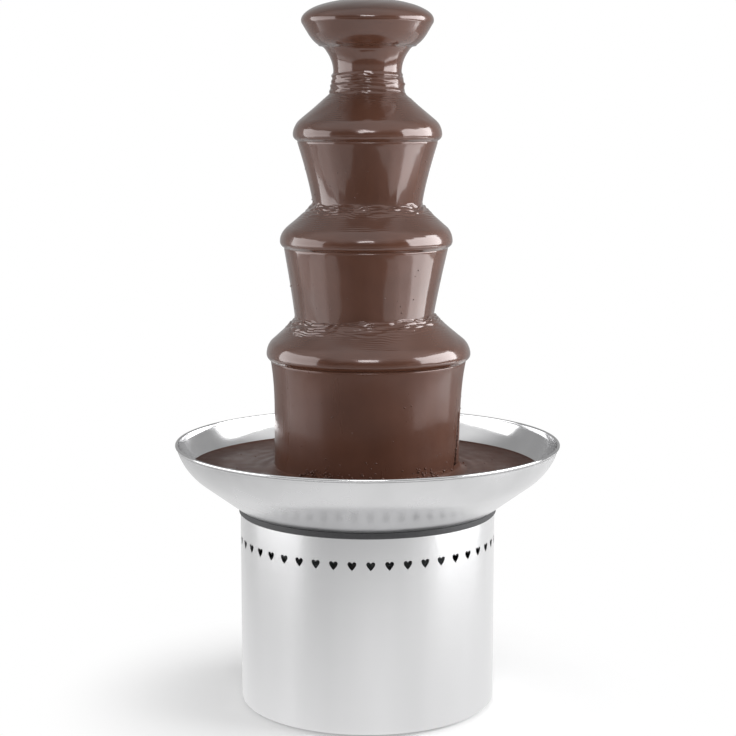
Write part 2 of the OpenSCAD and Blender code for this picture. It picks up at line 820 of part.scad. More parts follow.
module gearbox_bottom_plate() {
    color(zinc) difference() {
        gear_plate(bottom_plate_z);
        at_studs() hole(stud_hole_r, bottom_plate_z, gear_plate_t);
        hole(bush_r + run_gap, bottom_plate_z, gear_plate_t);
        translate(idler_at) hole(axle_r + run_gap, bottom_plate_z, gear_plate_t);
        translate(motor_at) hole(boss_d/2 + hole_gap, bottom_plate_z, gear_plate_t);
        at_motor_screws() hole(motor_screw_d/2 + hole_gap, bottom_plate_z, gear_plate_t);
    }
}

module gearbox_bushes() {
    color("#b98b4a") {
        ring_between(shaft_r + run_gap, bush_r, bottom_plate_z, gear_plate_t);
        ring_between(shaft_r + run_gap, bush_r, top_plate_z, gear_plate_t);
    }
}

module gear(teeth, m, turn, z, h) {
    translate([0, 0, z]) linear_extrude(h) polygon(gear_outline(teeth, m, turn));
}

// Hub that keeps a gear between the plates
module gear_hub(r) {
    translate([0, 0, room_z + end_gap]) cylinder(r = r, h = gear_room - 2*end_gap);
}

module output_gear() {
    hub_r = bush_r;
    color("#b9a36a") difference() {
        union() {
            gear(wheel_teeth, slow_module, 180, slow_z, slow_face);
            gear_hub(hub_r);
        }
        hole(shaft_r + run_gap, room_z, gear_room);
    }
}

module output_shaft() {
    color(steel) difference() {
        translate([0, 0, shaft_low]) cylinder(r = shaft_r, h = shaft_top - shaft_low);
        translate([0, 0, drive_pin_z]) rotate([0, 90, 0])
            cylinder(d = drive_pin_d + 2*run_gap, h = 2*core_d, center = true);
    }
}

module drive_pin() {
    color(zinc) translate([0, 0, drive_pin_z]) rotate([0, 90, 0])
        cylinder(d = drive_pin_d, h = core_d - 2*seat_gap, center = true);
}

module auger_core() {
    slot_w = drive_pin_d + 2*seat_gap;
    color(steel) difference() {
        translate([0, 0, core_z]) cylinder(r = core_r, h = auger_top - core_z);
        translate([0, 0, core_z - cut])
            cylinder(r = shaft_r + seat_gap, h = shaft_top + seat_gap - core_z + cut);
        translate([-core_d, -slot_w/2, core_z - cut])
            cube([2*core_d, slot_w, drive_pin_z + slot_w/2 - core_z + cut]);
    }
}

module auger_flight() {
    n = floor((auger_top - flight_z - flight_t)/flight_pitch*flight_steps);
    function section(i) = let (
        a = i*360/flight_steps,
        z = flight_z + i*flight_pitch/flight_steps)
        [for (p = [[flight_in_r, 0], [flight_r, 0], [flight_r, flight_t], [flight_in_r, flight_t]])
            [p[0]*cos(a), p[0]*sin(a), z + p[1]]];
    points = [for (i = [0 : n]) each section(i)];
    sides = [for (i = [0 : n - 1], k = [0 : 3]) let (
        a = 4*i + k,
        b = 4*i + (k + 1)%4)
        each [[a, a + 4, b], [b, a + 4, b + 4]]];
    ends = [[0, 1, 2], [0, 2, 3], [4*n, 4*n + 2, 4*n + 1], [4*n, 4*n + 3, 4*n + 2]];
    color(steel) polyhedron(points = points, faces = concat(sides, ends));
}

module idler_axle() {
    color(steel) translate(idler_at) translate([0, 0, bottom_plate_z])
        cylinder(r = axle_r, h = gear_room + 2*gear_plate_t);
}

module idler_gear() {
    color("#b9a36a") translate(idler_at) difference() {
        union() {
            gear(pinion_teeth, slow_module, half_tooth_pitch, slow_z, fast_z - slow_z + cut);
            gear(wheel_teeth, fast_module, 90, fast_z, fast_face);
            gear_hub(axle_d);
        }
        hole(axle_r + run_gap, room_z, gear_room);
    }
}

// Motor

module motor_can() {
    color(satin_steel) translate(motor_at) difference() {
        union() {
            translate([0, 0, motor_z]) cylinder(r = motor_r, h = motor_h);
            translate([0, 0, motor_top - cut]) cylinder(d = boss_d, h = gear_plate_t + cut);
        }
        translate([0, 0, motor_z - cut]) cylinder(r = motor_bore_r, h = motor_h - motor_wall + cut);
        hole(axle_r + run_gap, motor_top - motor_wall, gear_plate_t + motor_wall);
        for (side = [-1, 1]) translate([side*motor_screw_r, 0])
            hole(motor_screw_d/2 + run_gap, motor_top - motor_wall, motor_wall);
    }
}

module motor_end_cap() {
    color(satin_steel) translate(motor_at) difference() {
        union() {
            translate([0, 0, motor_z - end_cap_t]) cylinder(r = motor_r, h = end_cap_t);
            translate([0, 0, motor_z - cut]) cylinder(d = boss_d, h = boss_h + cut);
        }
        translate([0, 0, motor_z - end_cap_t/2]) cylinder(r = axle_r + run_gap, h = boss_h + end_cap_t);
    }
}

module motor_stator() {
    color(copper) translate(motor_at)
        ring_between(rotor_d/2 + rotor_air, motor_bore_r - seat_gap, stack_z, stack_h);
}

module motor_rotor() {
    low = motor_z - end_cap_t/2 + end_gap;
    color(zinc) translate(motor_at) union() {
        translate([0, 0, stack_z]) cylinder(d = rotor_d, h = stack_h);
        translate([0, 0, low]) cylinder(r = axle_r, h = fast_top + 2*pinion_over - low);
    }
}

module motor_pinion() {
    color("#b9a36a") translate(motor_at) difference() {
        gear(pinion_teeth, fast_module, 0, fast_z - pinion_over, fast_face + 2*pinion_over);
        hole(axle_r + run_gap, fast_z, fast_face);
    }
}

module motor_screws() {
    color(zinc) at_motor_screws() {
        translate([0, 0, room_z]) cylinder(r = motor_screw_d, h = motor_screw_d/2);
        translate([0, 0, motor_top - motor_wall - 2*cut])
            cylinder(d = motor_screw_d, h = gear_plate_t + motor_wall + 2*cut + motor_screw_d/4);
    }
}

// Tower

module tower_tube() {
    color(steel) difference() {
        union() {
            translate([0, 0, floor_z]) cylinder(r = tube_r, h = tube_top - floor_z);
            translate([0, 0, floor_z]) cylinder(d = foot_ring_d, h = foot_ring_t);
        }
        hole(bore_r, floor_z, tube_top - floor_z);
        for (i = [0 : pegs - 1]) rotate(90 + i*360/pegs) translate([peg_circle_r, 0])
            hole(peg_d/2 + hole_gap, floor_z, foot_ring_t);
        for (i = [0 : inlets - 1]) rotate(i*360/inlets)
            translate([0, 0, floor_z + foot_ring_t + cut + inlet_d/2]) rotate([90, 0, 0])
                cylinder(d = inlet_d, h = tube_d);
    }
}

module tower_pegs() {
    color(steel) for (i = [0 : pegs - 1]) rotate(90 + i*360/pegs)
        translate([peg_circle_r, 0, floor_z]) cylinder(d = peg_d, h = peg_h);
}

function collar_low(d, z) = cone_z(d/2, z, 0, collar_r) - collar_h;

module tier_stops() {
    color(steel) for (tier = [[lower_d, lower_z], [middle_d, middle_z], [upper_d, upper_z]])
        ring_between(tube_r + run_gap, tube_r + stop_w, collar_low(tier[0], tier[1]) - stop_h, stop_h);
}

module tier_dish(d, z) {
    r = d/2;
    low = collar_low(d, z);
    union() {
        rotate_extrude() polygon(concat(dome_path(r, z, 0, collar_r - collar_wall/2, lip_turn),
            reverse(dome_path(r, z, -dish_t, collar_r - collar_wall/2, lip_turn))));
        ring_between(tube_r + seat_gap, collar_r, low, collar_h);
    }
}

module lower_tier() { color(steel) tier_dish(lower_d, lower_z); }

module middle_tier() { color(steel) tier_dish(middle_d, middle_z); }

module upper_tier() { color(steel) tier_dish(upper_d, upper_z); }

module crown() {
    inner = bore_r;
    rim = crown_d/2;
    color(steel) rotate_extrude() polygon([
        [inner, tube_top], [tube_r + seat_gap, tube_top], [tube_r + seat_gap, tube_top - collar_h],
        [collar_r, tube_top - collar_h], [collar_r, tube_top], [crown_floor_r, tube_top],
        [rim, crown_rim_z], [rim - crown_wall_w, crown_rim_z],
        [crown_floor_r - crown_wall_w + dish_t/tan(crown_slope), tube_top + dish_t],
        [inner, tube_top + dish_t]]);
}

// Chocolate

module chocolate_pool() {
    edge = bowl_path(bowl_wall + film_gap);
    low = edge[0][1];
    inner = tube_r + film_gap;
    color(chocolate) difference() {
        intersection() {
            rotate_extrude() polygon(concat([[inner, low]], edge, [[inner, bead_z]]));
            translate([0, 0, low - cut]) cylinder(d = bowl_d, h = pool_z - low + cut);
        }
        translate([0, 0, low - cut])
            cylinder(r = foot_ring_d/2 + film_gap, h = floor_z + peg_h + film_gap - low + cut);
    }
}

// Film over one tier and the curtain that falls from it to the given foot
module tier_chocolate(d, z, foot_r, foot_z, foot_in_z, power) {
    r = d/2;
    from_r = collar_r + film_gap;
    out_r = r - tier_lip_r/2;
    outer = curtain(out_r, z - fold_h, foot_r, foot_z, power);
    inner = curtain(out_r - curtain_t, z - fold_h, foot_r - curtain_t, foot_in_z, power);
    rotate_extrude() polygon(concat(
        dome_path(r, z, film_off, from_r, film_turn), outer,
        reverse(inner), reverse(dome_path(r, z, film_gap, from_r, lip_turn))));
}

// Height of the film on a tier at a radius, with the gap that a curtain keeps above it
function film_z(d, z, at) = cone_z(d/2, z, film_off, at) + film_gap/cos(tier_slope);

module lower_chocolate() {
    color(chocolate) tier_chocolate(lower_d, lower_z, lower_foot_d/2,
        pool_z + film_gap, pool_z + film_gap, lower_draw);
}

module middle_chocolate() {
    foot = middle_foot_d/2;
    swell = foot + landing_swell;
    color(chocolate) tier_chocolate(middle_d, middle_z, foot,
        film_z(lower_d, lower_z, swell), film_z(lower_d, lower_z, swell - curtain_t), middle_draw);
}

module upper_chocolate() {
    foot = upper_foot_d/2;
    swell = foot + landing_swell;
    color(chocolate) tier_chocolate(upper_d, upper_z, foot,
        film_z(middle_d, middle_z, swell), film_z(middle_d, middle_z, swell - curtain_t), upper_draw);
}

module crown_chocolate() {
    foot = crown_foot_d/2;
    swell = foot + landing_swell;
    slope_w = crown_wall_w + crown_gap_w;
    under_z = tube_top - film_off;
    under_r = crown_floor_r + crown_film_w - film_off/tan(crown_slope);
    neck_r = crown_floor_r - fold_h/2;
    inside_z = tube_top + dish_t + film_gap;
    bore = bore_r + film_gap;
    dome = [for (i = [0 : 12]) let (a = 90 - 90*i/12) [dome_r*cos(a), dome_z + dome_h*sin(a)]];
    lip_c = [dome_r - dome_lip_r, dome_z];
    outer = curtain(neck_r, under_z - fold_h/4, foot, film_z(upper_d, upper_z, swell), crown_draw);
    inner = curtain(neck_r - curtain_t, under_z - fold_h/4, foot - curtain_t,
        film_z(upper_d, upper_z, swell - curtain_t), crown_draw);
    color(chocolate) rotate_extrude() polygon(concat(
        dome,
        [for (i = [1 : 4]) lip_c + dome_lip_r*[cos((90 - crown_slope)*i/4), -sin((90 - crown_slope)*i/4)]],
        [[under_r, under_z]], outer, reverse(inner),
        [[neck_r - curtain_t, tube_top - film_gap],
         [crown_floor_r + crown_gap_w - film_gap/tan(crown_slope), tube_top - film_gap],
         [crown_d/2 + crown_gap_w, crown_rim_z], [crown_d/2 + crown_gap_w, crown_rim_z + film_gap],
         [crown_d/2 - slope_w, crown_rim_z + film_gap],
         [crown_floor_r - slope_w + (inside_z - tube_top)/tan(crown_slope), inside_z],
         [bore, inside_z], [bore, auger_top + film_gap], [0, auger_top + film_gap]]));
}

// Rear controls

module thermostat_body() {
    back = thermostat_front - thermostat_deep;
    color(black) difference() {
        union() {
            translate([-thermostat_w/2, back, control_z - thermostat_h/2])
                cube([thermostat_w, thermostat_deep, thermostat_h]);
            outwards(thermostat_front - cut, control_z)
                cylinder(d = neck_d, h = base_r + dial_t + neck_nut_h - thermostat_front + cut);
        }
        outwards(thermostat_front - thermostat_deep/2, control_z)
            cylinder(d = knob_shaft_d + 2*run_gap, h = thermostat_deep + neck_nut_h + neck_d);
    }
}

module thermostat_nut() {
    color(zinc) outwards(base_r + dial_t + seat_gap, control_z) difference() {
        cylinder(d = neck_nut_d, h = neck_nut_h, $fn = 6);
        translate([0, 0, -cut]) cylinder(d = neck_d + 2*run_gap, h = neck_nut_h + 2*cut);
    }
}

module thermostat_shaft() {
    low = thermostat_front - thermostat_deep/2 + end_gap;
    color(zinc) outwards(low, control_z) cylinder(d = knob_shaft_d, h = knob_y + knob_bore - low);
}

module control_knob() {
    knob_r = knob_d/2;
    skirt_h = knob_h*0.28;
    grip_r = knob_r*0.88;
    face_r = knob_r*0.78;
    edge = knob_h*0.06;
    flute_r = PI*grip_r/knob_flutes/4;
    hollow_h = dial_t + seat_gap + neck_nut_h + end_gap - knob_gap;
    color(black) outwards(knob_y, control_z) difference() {
        rotate_extrude() polygon([[0, 0], [knob_r, 0], [knob_r, skirt_h - edge], [grip_r, skirt_h],
            [face_r + edge, knob_h - edge], [face_r, knob_h], [0, knob_h]]);
        for (i = [0 : knob_flutes - 1]) rotate(i*360/knob_flutes)
            translate([grip_r, 0, skirt_h]) cylinder(r = flute_r, h = knob_h);
        translate([0, 0, -cut]) cylinder(r = neck_nut_d/2 + end_gap, h = hollow_h + cut);
        cylinder(d = knob_shaft_d + 2*run_gap, h = knob_bore + seat_gap);
    }
}

module dial_plate() {
    color("#1e1e22") difference() {
        intersection() {
            translate([0, 0, control_z - dial_d]) cylinder(r = base_r + seat_gap/2 + dial_t, h = 2*dial_d);
            outwards(0, control_z) cylinder(d = dial_d, h = 2*base_r);
        }
        translate([0, 0, control_z - 2*dial_d]) cylinder(r = base_r + seat_gap/2, h = 4*dial_d);
        outwards(0, control_z) cylinder(d = neck_d + 2*hole_gap, h = 2*base_r);
    }
}

// Flange whose back follows the round shell
module shell_flange() {
    difference() {
        children();
        translate([0, 0, base_bottom]) cylinder(r = base_r + seat_gap/2, h = base_h, $fn = 360);
    }
}

module switch_frame() {
    room_w = rocker_w/2 + end_gap;
    deep = rocker_room + pivot_in;
    difference() {
        union() {
            shell_flange() outwards(base_r - 2*cut, control_z)
                cylinder(d = switch_d, h = flange_out + 2*cut);
            outwards(base_r - barrel_h, control_z) cylinder(r = barrel_r, h = barrel_h + flange_out/2);
        }
        translate([-room_w, base_r - deep, control_z - rocker_room])
            cube([2*room_w, deep + flange_out + cut, 2*rocker_room]);
        translate([0, pivot_y, control_z]) rotate([0, 90, 0])
            cylinder(r = pivot_r + run_gap, h = rocker_w + 6*pivot_r, center = true);
    }
}

// Rocker with a hollowed face, drawn in its pressed position
module switch_rocker() {
    face = pivot_in + flange_out;
    back = -rocker_r*0.55;
    dip = rocker_r*0.18;
    translate([0, pivot_y, control_z]) rotate([rocker_tilt, 0, 0]) union() {
        intersection() {
            rotate([0, 90, 0]) cylinder(r = rocker_r, h = rocker_w, center = true);
            rotate([90, 0, 90]) translate([0, 0, -rocker_w]) linear_extrude(2*rocker_w) polygon([
                [back, -2*rocker_r], [face + 2*dip, -rocker_r], [face - dip/4, 0],
                [face + 2*dip, rocker_r], [back, 2*rocker_r]]);
        }
        rotate([0, 90, 0]) cylinder(r = pivot_r, h = rocker_w + 6*pivot_r - 2*end_gap, center = true);
    }
}

module motor_switch_frame() { color(black) rotate(-switch_turn) switch_frame(); }

module motor_switch_rocker() { color("#b3201c") rotate(-switch_turn) switch_rocker(); }

module heat_switch_frame() { color(black) rotate(switch_turn) switch_frame(); }

module heat_switch_rocker() { color("#b3201c") rotate(switch_turn) switch_rocker(); }

module lamp_bezel() {
    color(black) difference() {
        shell_flange() outwards(base_r - cut, lamp_z) cylinder(d = lamp_d, h = flange_out + cut);
        outwards(base_r - 2*cut, lamp_z) cylinder(d = lens_d + 2*seat_gap, h = flange_out + 4*cut);
    }
}

module lamp_lens() {
    rise = lens_d/4;
    dome = [for (i = [0 : 5]) [lens_d/2*cos(18*i), flange_out + rise*sin(18*i)]];
    color("#d9622b") outwards(base_r, lamp_z) rotate_extrude()
        polygon(concat([[0, -lens_d], [lens_d/2, -lens_d]], dome));
}

module inlet_box(w, h, y0, y1) {
    translate([-w/2, y0, inlet_z - h/2]) cube([w, y1 - y0, h]);
}

module contact_places() {
    for (side = [-1, 0, 1])
        translate([side*contact_spread/2, 0, inlet_z + contact_rise*(0.5 - abs(side))]) children();
}

// Blade through the wall behind the socket, reaching out behind and in front of it
module contact(t, w, behind, front) {
    translate([-t/2, base_r - inlet_deep - behind, -w/2])
        cube([t, behind + socket_floor + front, w]);
}

module power_inlet() {
    color(black) difference() {
        union() {
            shell_flange() inlet_box(inlet_flange_w, inlet_flange_h, base_r - 2*cut, base_r + flange_out);
            inlet_box(inlet_w, inlet_h, base_r - inlet_deep, base_r + flange_out/2);
        }
        inlet_box(socket_w, socket_h, socket_y, base_r + flange_out + cut);
        contact_places() contact(contact_t + seat_gap, contact_w + seat_gap, contact_tail, cut);
    }
}

module inlet_pins() {
    color("#c9b06a") contact_places() contact(contact_t, contact_w, contact_tail, contact_l);
}

base_shell();
base_plate();
plate_screws();
rubber_feet();
foot_screws();
seal_ring();
bowl();
bowl_studs();
stud_nuts();
stud_spacers();
heater_plate();
heater_element();
insulation_pad();
heater_pan();
seal_housing();
seal_nut();
lip_seal();
shaft_bush();
gearbox_top_plate();
gearbox_bottom_plate();
gearbox_bushes();
output_gear();
output_shaft();
drive_pin();
auger_core();
auger_flight();
idler_axle();
idler_gear();
motor_can();
motor_end_cap();
motor_stator();
motor_rotor();
motor_pinion();
motor_screws();
tower_tube();
tower_pegs();
tier_stops();
lower_tier();
middle_tier();
upper_tier();
crown();
chocolate_pool();
lower_chocolate();
middle_chocolate();
upper_chocolate();
crown_chocolate();
thermostat_body();
thermostat_nut();
thermostat_shaft();
control_knob();
dial_plate();
motor_switch_frame();
motor_switch_rocker();
heat_switch_frame();
heat_switch_rocker();
lamp_bezel();
lamp_lens();
power_inlet();
inlet_pins();
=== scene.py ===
"""Chocolate fountain: finishes of the steel body and the running chocolate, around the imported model."""

import json
import math

import bpy
import numpy as np
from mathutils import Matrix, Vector
from mathutils.bvhtree import BVHTree


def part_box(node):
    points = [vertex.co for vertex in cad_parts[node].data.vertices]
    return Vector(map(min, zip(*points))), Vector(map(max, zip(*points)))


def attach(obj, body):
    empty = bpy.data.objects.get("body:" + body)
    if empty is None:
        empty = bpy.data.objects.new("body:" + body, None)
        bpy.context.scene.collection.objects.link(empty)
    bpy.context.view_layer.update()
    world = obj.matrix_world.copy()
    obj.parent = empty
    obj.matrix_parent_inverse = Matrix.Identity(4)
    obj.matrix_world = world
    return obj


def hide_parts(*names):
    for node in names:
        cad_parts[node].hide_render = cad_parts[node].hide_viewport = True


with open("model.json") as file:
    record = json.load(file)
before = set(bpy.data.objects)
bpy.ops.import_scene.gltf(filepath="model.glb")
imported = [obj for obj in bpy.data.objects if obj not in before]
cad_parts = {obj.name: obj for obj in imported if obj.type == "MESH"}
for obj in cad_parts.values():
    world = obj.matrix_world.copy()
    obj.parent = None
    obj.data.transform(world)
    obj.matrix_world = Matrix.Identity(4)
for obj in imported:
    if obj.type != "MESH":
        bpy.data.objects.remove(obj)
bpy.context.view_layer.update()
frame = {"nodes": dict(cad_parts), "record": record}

# Sizes are in millimetres, and a mesh is turned into metres where it is made.
# Angles round the axis start at the front and grow towards the right.
MM = 0.001
SEGMENTS = 600
TINY = 1e-9

# Tier dishes and their films, as the solids have them
TIER_SLOPE = math.radians(40)
EDGE_R = 16.0
LIP_R = 4.0
COLLAR_MID_R = 28.5
FILM_START_R = 29.6
FILM_GAP = 0.3
FILM_OFF = 2.3
CURTAIN_T = 2.0

# Crown and tube, as the solids have them
CROWN_R = 61.0
CROWN_DEPTH = 20.5
CROWN_SLOPE = math.radians(55)
CROWN_SHEET = 1.0
TUBE_BORE_R = 26.3


def box_mm(node):
    """Lowest and highest corner of a solid at rest, in millimetres."""
    low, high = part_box(node)
    return low / MM, high / MM


# Helpers for outlines

def arc(centre, radius, start, end, count):
    """Points on a round arc, from one angle to another in degrees."""
    angle = np.radians(np.linspace(start, end, count))
    return np.stack([centre[0] + radius * np.cos(angle), centre[1] + radius * np.sin(angle)], axis=1)


def line(a, b, count):
    """Points on a straight line, with both ends."""
    t = np.linspace(0, 1, count)[:, None]
    return np.array(a) * (1 - t) + np.array(b) * t


def bend(a, corner, b, count):
    """Points on a curve from a to b that heads for the corner first."""
    t = np.linspace(0, 1, count)[:, None]
    return (1 - t) ** 2 * np.array(a) + 2 * t * (1 - t) * np.array(corner) + t ** 2 * np.array(b)


def meeting(a, a_way, b, b_way):
    """Point where two lines meet."""
    sides = np.array([[a_way[0], -b_way[0]], [a_way[1], -b_way[1]]])
    return np.array(a) + np.linalg.solve(sides, np.array(b) - np.array(a))[0] * np.array(a_way)


def smooth(low, high, x):
    """0 below low, 1 above high, and a soft step between them."""
    t = np.clip((x - low) / (high - low), 0, 1)
    return t * t * (3 - 2 * t)


def hump(middle, width, x):
    """1 in the middle, and a soft fall to 0 on both sides."""
    return np.exp(-((x - middle) / width) ** 2)


def outline_normals(points):
    """Unit normals to the left of an outline, which is outwards where it runs out and down."""
    along = np.gradient(points, axis=0)
    along = along / np.maximum(np.linalg.norm(along, axis=1, keepdims=True), TINY)
    return np.stack([-along[:, 1], along[:, 0]], axis=1)


def distances(points):
    """Distance along an outline to each of its points."""
    steps = np.linalg.norm(np.diff(points, axis=0), axis=1)
    return np.concatenate([[0], np.cumsum(steps)])


# Meshes

def new_object(name, vertices, faces, material, smooth_shaded=True, scale=MM):
    """Object from points and faces. The points are in millimetres unless the scale says otherwise."""
    mesh = bpy.data.meshes.new(name)
    mesh.from_pydata((np.asarray(vertices) * scale).tolist(), [], faces)
    mesh.polygons.foreach_set("use_smooth", [smooth_shaded] * len(mesh.polygons))
    mesh.update()
    obj = bpy.data.objects.new(name, mesh)
    obj.data.materials.append(material)
    bpy.context.scene.collection.objects.link(obj)
    return obj


def angles():
    """Angles round the axis, one for each segment of a turned body."""
    return np.linspace(0, math.tau, SEGMENTS, endpoint=False)


def grids(points):
    """Radius and height of an outline, one row per point and one column per angle."""
    return points[:, 0][:, None] + 0 * angles(), points[:, 1][:, None] + 0 * angles()


def lifted_grids(outline, rest, lift):
    """Grids of a loop whose first points are lifted along their normals."""
    r, z = grids(np.concatenate([outline, rest]))
    normal = outline_normals(outline)
    r[:len(outline)] += lift * normal[:, :1]
    z[:len(outline)] += lift * normal[:, 1:]
    return r, z


def turned(name, r, z, material, closed=True, slide=0):
    """Turned body from grids of radius and height. An open outline is closed on the axis.
    A slide moves the points sideways."""
    phi = angles()
    rows = r.shape[0]
    vertices = np.stack([r * np.sin(phi) + slide, -r * np.cos(phi), z], axis=2).reshape(-1, 3)
    faces = []
    for i in range(rows if closed else rows - 1):
        a, b = i * SEGMENTS, (i + 1) % rows * SEGMENTS
        for j in range(SEGMENTS):
            k = (j + 1) % SEGMENTS
            faces.append((a + j, b + j, b + k, a + k))
    if not closed:
        poles = [[0, 0, z[0].mean()], [0, 0, z[-1].mean()]]
        top, foot = len(vertices), len(vertices) + 1
        vertices = np.concatenate([vertices, poles])
        last = (rows - 1) * SEGMENTS
        for j in range(SEGMENTS):
            k = (j + 1) % SEGMENTS
            faces.append((top, j, k))
            faces.append((foot, last + k, last + j))
    return new_object(name, vertices, faces, material)


def paint(piece, slots, *materials):
    """Adds materials to a piece and gives each face the number of its own."""
    for material in materials:
        piece.data.materials.append(material)
    piece.data.polygons.foreach_set("material_index", slots)


def settle(piece, node):
    """A new piece stands for one solid of the housing."""
    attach(piece, "housing")
    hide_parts(node)


# Materials

WHITE = (1, 1, 1, 1)
NOISE_RANGE = (0.3, 0.7)
COOL = 1.01


def fill(node, values):
    """Puts values on a node's sockets, whose names have underscores for spaces here."""
    for socket, value in values.items():
        node.inputs[socket.replace("_", " ")].default_value = value


class Nodes:
    """A node tree and short ways to add to it."""

    def __init__(self, tree):
        self.tree = tree

    def node(self, kind, **values):
        node = self.tree.nodes.new("ShaderNode" + kind)
        fill(node, values)
        return node

    def link(self, a, b):
        self.tree.links.new(a, b)

    def coordinate(self, kind):
        return self.node("TexCoord").outputs[kind]

    def axis(self, place, name):
        """One axis of a place or a direction."""
        split = self.node("SeparateXYZ")
        self.link(place, split.inputs[0])
        return split.outputs[name]

    def span(self, value, from_range, to_range=(0, 1), soft=False):
        """A value taken from one range to another and held at its ends."""
        span = self.node("MapRange")
        if soft:
            span.interpolation_type = "SMOOTHSTEP"
        for name, number in zip(("From Min", "From Max", "To Min", "To Max"), (*from_range, *to_range)):
            span.inputs[name].default_value = number
        self.link(value, span.inputs["Value"])
        return span.outputs["Result"]

    def white_light(self, kind, strength=1.0):
        """White light from a surface or from the world."""
        return self.node(kind, Color=WHITE, Strength=strength)

    def blend(self, factor, a, b):
        """Shader between a and b by a factor."""
        mix = self.node("MixShader")
        for source, socket in zip((factor, a, b), mix.inputs):
            self.link(source, socket)
        return mix.outputs[0]

    def by_ray(self, shade, glossy, camera):
        """One shader for most rays, another in reflections and a third for the camera."""
        path = self.node("LightPath")
        shade = self.blend(path.outputs["Is Glossy Ray"], shade, glossy)
        return self.blend(path.outputs["Is Camera Ray"], shade, camera)


class Finish(Nodes):
    """One procedural material and short ways to add to it."""

    def __init__(self, name, **values):
        self.material = bpy.data.materials.new(name)
        self.material.use_nodes = True
        super().__init__(self.material.node_tree)
        self.shader = self.tree.nodes["Principled BSDF"]
        fill(self.shader, values)

    def place(self, scale):
        """Position on the object in metres, stretched by one scale or by one for each axis."""
        mapping = self.node("Mapping", Scale=np.full(3, scale, float))
        self.link(self.coordinate("Object"), mapping.inputs["Vector"])
        return mapping.outputs["Vector"]

    def noise(self, scale, detail=3, roughness=0.5, distortion=0.0):
        """Noise with about as many lumps in a metre as the scale says."""
        noise = self.node("TexNoise", Scale=1.0, Detail=detail, Roughness=roughness, Distortion=distortion)
        self.link(self.place(scale), noise.inputs["Vector"])
        return noise.outputs["Fac"]

    def colour(self, fac, a, b, fac_range=NOISE_RANGE):
        """Base colour between a and b by a factor."""
        mix = self.node("Mix")
        mix.data_type = "RGBA"
        fill(mix, {"A": (*a, 1), "B": (*b, 1)})
        self.link(self.span(fac, fac_range), mix.inputs["Factor"])
        self.link(mix.outputs["Result"], self.shader.inputs["Base Color"])

    def roughness(self, fac, low, high):
        self.link(self.span(fac, NOISE_RANGE, (low, high)), self.shader.inputs["Roughness"])

    def bump(self, fac, distance, strength):
        """Relief of a depth in metres."""
        bump = self.node("Bump", Strength=strength, Distance=distance)
        self.link(fac, bump.inputs["Height"])
        self.link(bump.outputs["Normal"], self.shader.inputs["Normal"])


def grey(value):
    """Grey with a trace of blue."""
    return (value, value, value * COOL)


def polished_steel(name="polished_steel", rough=(0.10, 0.20)):
    finish = Finish(name, Metallic=1.0)
    rings = finish.noise((5, 5, 900), detail=4, roughness=0.6)
    haze = finish.noise(16)
    finish.colour(haze, grey(0.60), grey(0.69))
    finish.roughness(haze, *rough)
    finish.bump(rings, distance=0.00001, strength=0.2)
    return finish.material


def satin_steel():
    finish = Finish("satin_steel", Metallic=1.0, Anisotropic=0.5, Anisotropic_Rotation=0.25)
    brush = finish.noise((4, 4, 3200), roughness=0.6)
    haze = finish.noise((16, 16, 2), detail=2)
    finish.colour(haze, grey(0.69), grey(0.75))
    finish.roughness(brush, 0.23, 0.27)
    finish.bump(brush, distance=0.00001, strength=0.08)
    return finish.material


def zinc_steel():
    finish = Finish("zinc_steel", Metallic=1.0)
    spangle = finish.node("TexVoronoi", Scale=1.0)
    finish.link(finish.place(160), spangle.inputs["Vector"])
    finish.colour(spangle.outputs["Distance"], (0.48, 0.50, 0.52), (0.58, 0.60, 0.61), fac_range=(0.1, 0.8))
    finish.roughness(finish.noise(90), 0.32, 0.5)
    return finish.material


def plain_finish(name, scale, colours, rough, relief=None, detail=3, grain=0.5, distortion=0.0, **values):
    """One noise varies the colour and the roughness, and the relief if it has a depth and a strength."""
    finish = Finish(name, **values)
    noise = finish.noise(scale, detail, grain, distortion)
    finish.colour(noise, *colours)
    finish.roughness(noise, *rough)
    if relief is not None:
        finish.bump(noise, *relief)
    return finish.material


